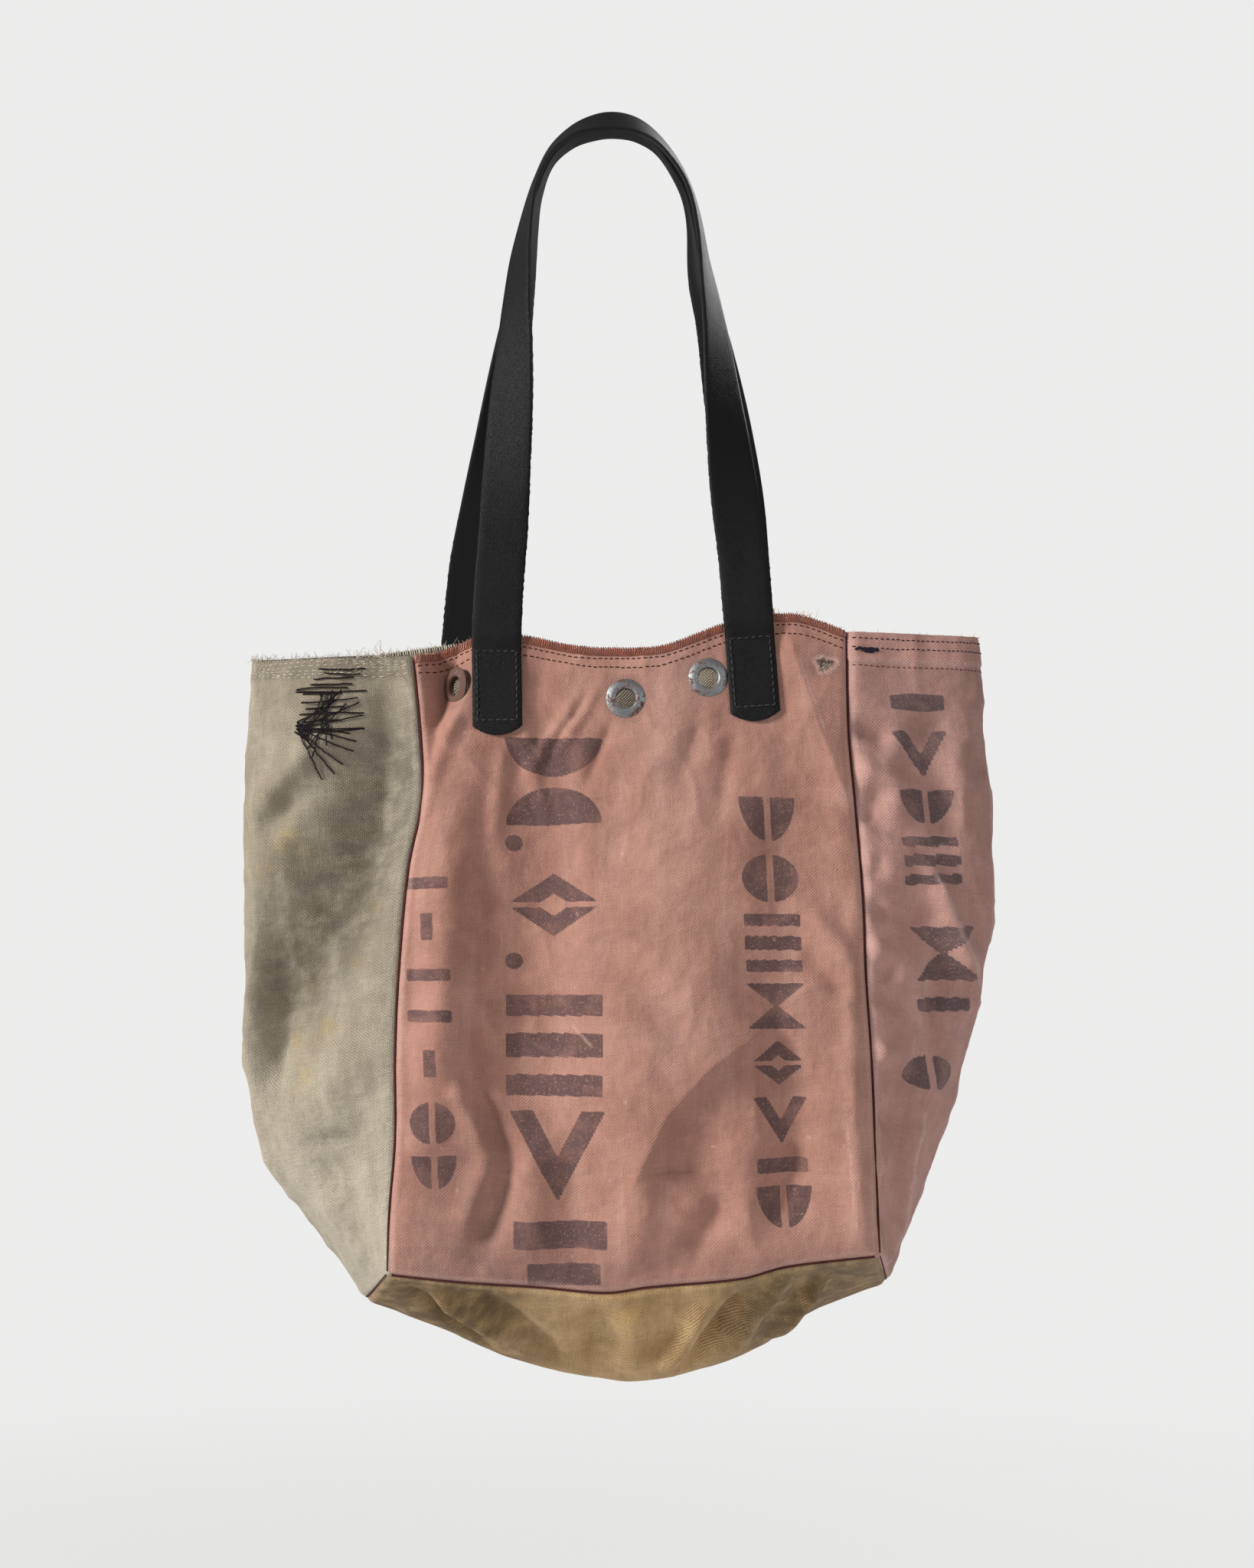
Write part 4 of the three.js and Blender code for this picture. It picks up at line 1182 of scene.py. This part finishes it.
TORN_RING = 4.6  # the fibres round the torn hole start this far from its middle
torn_left, torn_right = front_left_x(TORN[1]), front_right_x(TORN[1])
torn_p = (TORN[0] - torn_left) / (torn_right - torn_left) * front.width
torn_q = front_rim_z(TORN[0]) - TORN[1]
for _ in range(34):
    a = g.uniform(0, 6.28)
    root = front.sample(torn_p + TORN_RING * 1.25 * math.cos(a), torn_q + TORN_RING * math.sin(a), 0.5)
    tip = front.sample(torn_p + TORN_RING * 0.9 * math.cos(a + g.normal(0, 0.6)) + g.normal(0, 1.2),
                       torn_q + TORN_RING * 0.8 * math.sin(a) + g.normal(0, 1.0), 0.4 + abs(g.normal(0, 0.9)))
    threads["torn_hole_fray"].add([root, (root + tip) / 2 + g.normal(0, 0.5, 3), tip], 0.15, 4, taper=True)

fray("back_rim_fray", back, [(p, 0) for p in spread(back, 260)], (1.5, 5))
fray("left_hem_fray", left, [(p, 0) for p in spread(left, 300)], (1.2, 4.5))
fray("left_hem_fray", left, [(g.normal(24, 4), g.uniform(0, 2)) for _ in range(26)], (4, 11), 0.2, seed=12)
fray("left_hem_fray", left, [(g.uniform(3, 60), g.uniform(2, 14)) for _ in range(60)], (2, 5),
     seed=13, lean=0.7)
for _ in range(9):  # a dark darn over the right hem's front end
    p = 8 + g.normal(0, 3.5)
    ps = np.linspace(p, p + g.uniform(5, 10), 6)
    qs = 12.6 + 1.4 * np.sin(ps * g.uniform(0.3, 0.7))
    threads["right_hem_navy_stitching"].add(right.sample(ps, qs, np.full(6, 1.2)), 0.6)
fray("right_hem_fray", right, [(p, g.choice([0, 19.2])) for p in spread(right, 150)], (0.8, 2.4))

SEAM_SINK = 1.5  # a seam's thread lies this deep in its groove
EDGES = {"left": (0, slice(2, -2)), "right": (-1, slice(2, -2)), "foot": (slice(2, -2), -1)}
for name, sheet, radius, edges in (("front_seam_thread", front, 0.8, ("left", "right", "foot")),
                                   ("back_seam_thread", back, 0.6, ("left", "right", "foot")),
                                   ("bottom_seam_thread", base, 0.6, ("left", "right"))):
    for edge in edges:
        threads[name].add(sheet.base[EDGES[edge]] - sheet.N[EDGES[edge]] * SEAM_SINK, radius, 6)

# Hand darning on the left gusset, by x and z.
DARN_ROWS = [(-193.7, -357.8, -162.8, -357.6), (-190, -360.2, -166, -361.4), (-197, -364.3, -170, -363.4),
             (-199, -368.3, -171, -367.6), (-208.7, -371.9, -174, -370.3), (-209.4, -373.2, -161.5, -372.2),
             (-204, -374.6, -178, -373.6), (-205, -380.3, -167.8, -376.4), (-202, -384.2, -176, -382.0),
             (-206, -387.9, -163.4, -386.4), (-203, -393.0, -178, -391.6), (-202, -399.4, -163.2, -396.8)]
DARN_FROM = (-206.6, -397.0)
DARN_FAN = [(-166.3, -378.8), (-164, -388), (-163.3, -396.5), (-168, -405), (-170.3, -411.4),
            (-177.3, -420.4), (-182.7, -426.8), (-190.8, -430.4), (-180.2, -374), (-172, -400)]
DARN_CROSS = [(-190, -372, -200, -406), (-184, -371, -197, -416), (-178, -371, -204, -404),
              (-187, -372, -188, -408), (-181, -378, -208, -393), (-175, -380, -200, -410),
              (-192, -374, -184, -404)]


def darn(x0, z0, x1, z1, radius, seed):
    """One long stitch that bows a little and goes into the cloth at both ends."""
    bow = np.random.default_rng(seed).normal(0, 1.0)
    t = np.linspace(0, 1, 18)
    xs = lerp(x0, x1, t) + 0.25 * np.sin(t * 25 + seed)
    zs = lerp(z0, z1, t) + bow * np.sin(t * math.pi) * 0.7
    points = []
    for x, z, share in zip(xs, zs, t):
        at, out = left.seen_from_front(x, z)
        if at is None:
            continue
        over = 1.0 + radius * (0.8 + (seed % 3) * 0.55)  # the stitches cross at three heights
        points.append(at - np.sign(out[1]) * out * (over if 0.04 < share < 0.96 else -0.2))
    if len(points) > 3:
        threads["hand_darning"].add(points, radius, 6)


for rows, radius, seed in ((DARN_ROWS, 0.52, 40), ([DARN_FROM + end for end in DARN_FAN], 0.48, 60),
                           (DARN_CROSS, 0.45, 80)):
    for k, row in enumerate(rows):
        darn(*row, radius, seed + k)
for k in range(10):
    x, z = DARN_FROM[0] + g.normal(0, 1.6), DARN_FROM[1] + g.normal(0, 2.0)
    darn(x, z, x + g.uniform(2, 6), z + g.normal(0, 2), 0.5, 100 + k)

thread_obs = {name: tubes.build() for name, tubes in threads.items()}

# ---------------------------------------------------------------- bodies, and the CAD parts these meshes replace
for ob in (front_ob, back_ob, left_ob, right_ob, base_ob, *thread_obs.values()):
    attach(ob, "bag")
for node, ob in eyelet_obs:
    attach(ob, "bag")
    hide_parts(node)
for side_name, spec in STRAPS.items():
    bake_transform(spec["ob"])
    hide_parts(side_name + "_handle_strap", side_name + "_left_tab", side_name + "_right_tab")
    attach(spec["stitches"], "bag")

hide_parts("front_panel")
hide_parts("front_rim_edging")
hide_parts("back_panel")
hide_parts("back_rim_edging")
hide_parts("left_gusset", "left_gusset_hem")
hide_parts("right_gusset", "right_gusset_hem")
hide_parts("bottom_panel")

# ---------------------------------------------------------------- stage
FLOOR_Z, FLOOR_R, FLOOR_FADE = -1.30, 3.0, 0.6  # the floor thins out into the backdrop beyond FLOOR_FADE
FLOOR_SIDES = 96
angles = np.linspace(0, 2 * math.pi, FLOOR_SIDES + 1)[:-1]
rim = [(FLOOR_R * math.cos(a), FLOOR_R * math.sin(a), FLOOR_Z) for a in angles]
floor_mesh = bpy.data.meshes.new("floor")
floor_mesh.from_pydata(rim, [], [tuple(range(FLOOR_SIDES))])
floor = bpy.data.objects.new("floor", floor_mesh)
scene.collection.objects.link(floor)
paint = Nodes("floor")
x, y = paint.node("SeparateXYZ", [paint.place((1 / FLOOR_R,) * 3)])[:2]
reach = paint.math("SQRT", paint.add(paint.mul(x, x), paint.mul(y, y)))
floor_mesh.materials.append(paint.finish(Base_Color=(0.9, 0.9, 0.895, 1), Roughness=0.9,
                                         Alpha=paint.span(reach, FLOOR_FADE / FLOOR_R, 0.85, 1.0, 0.0)))
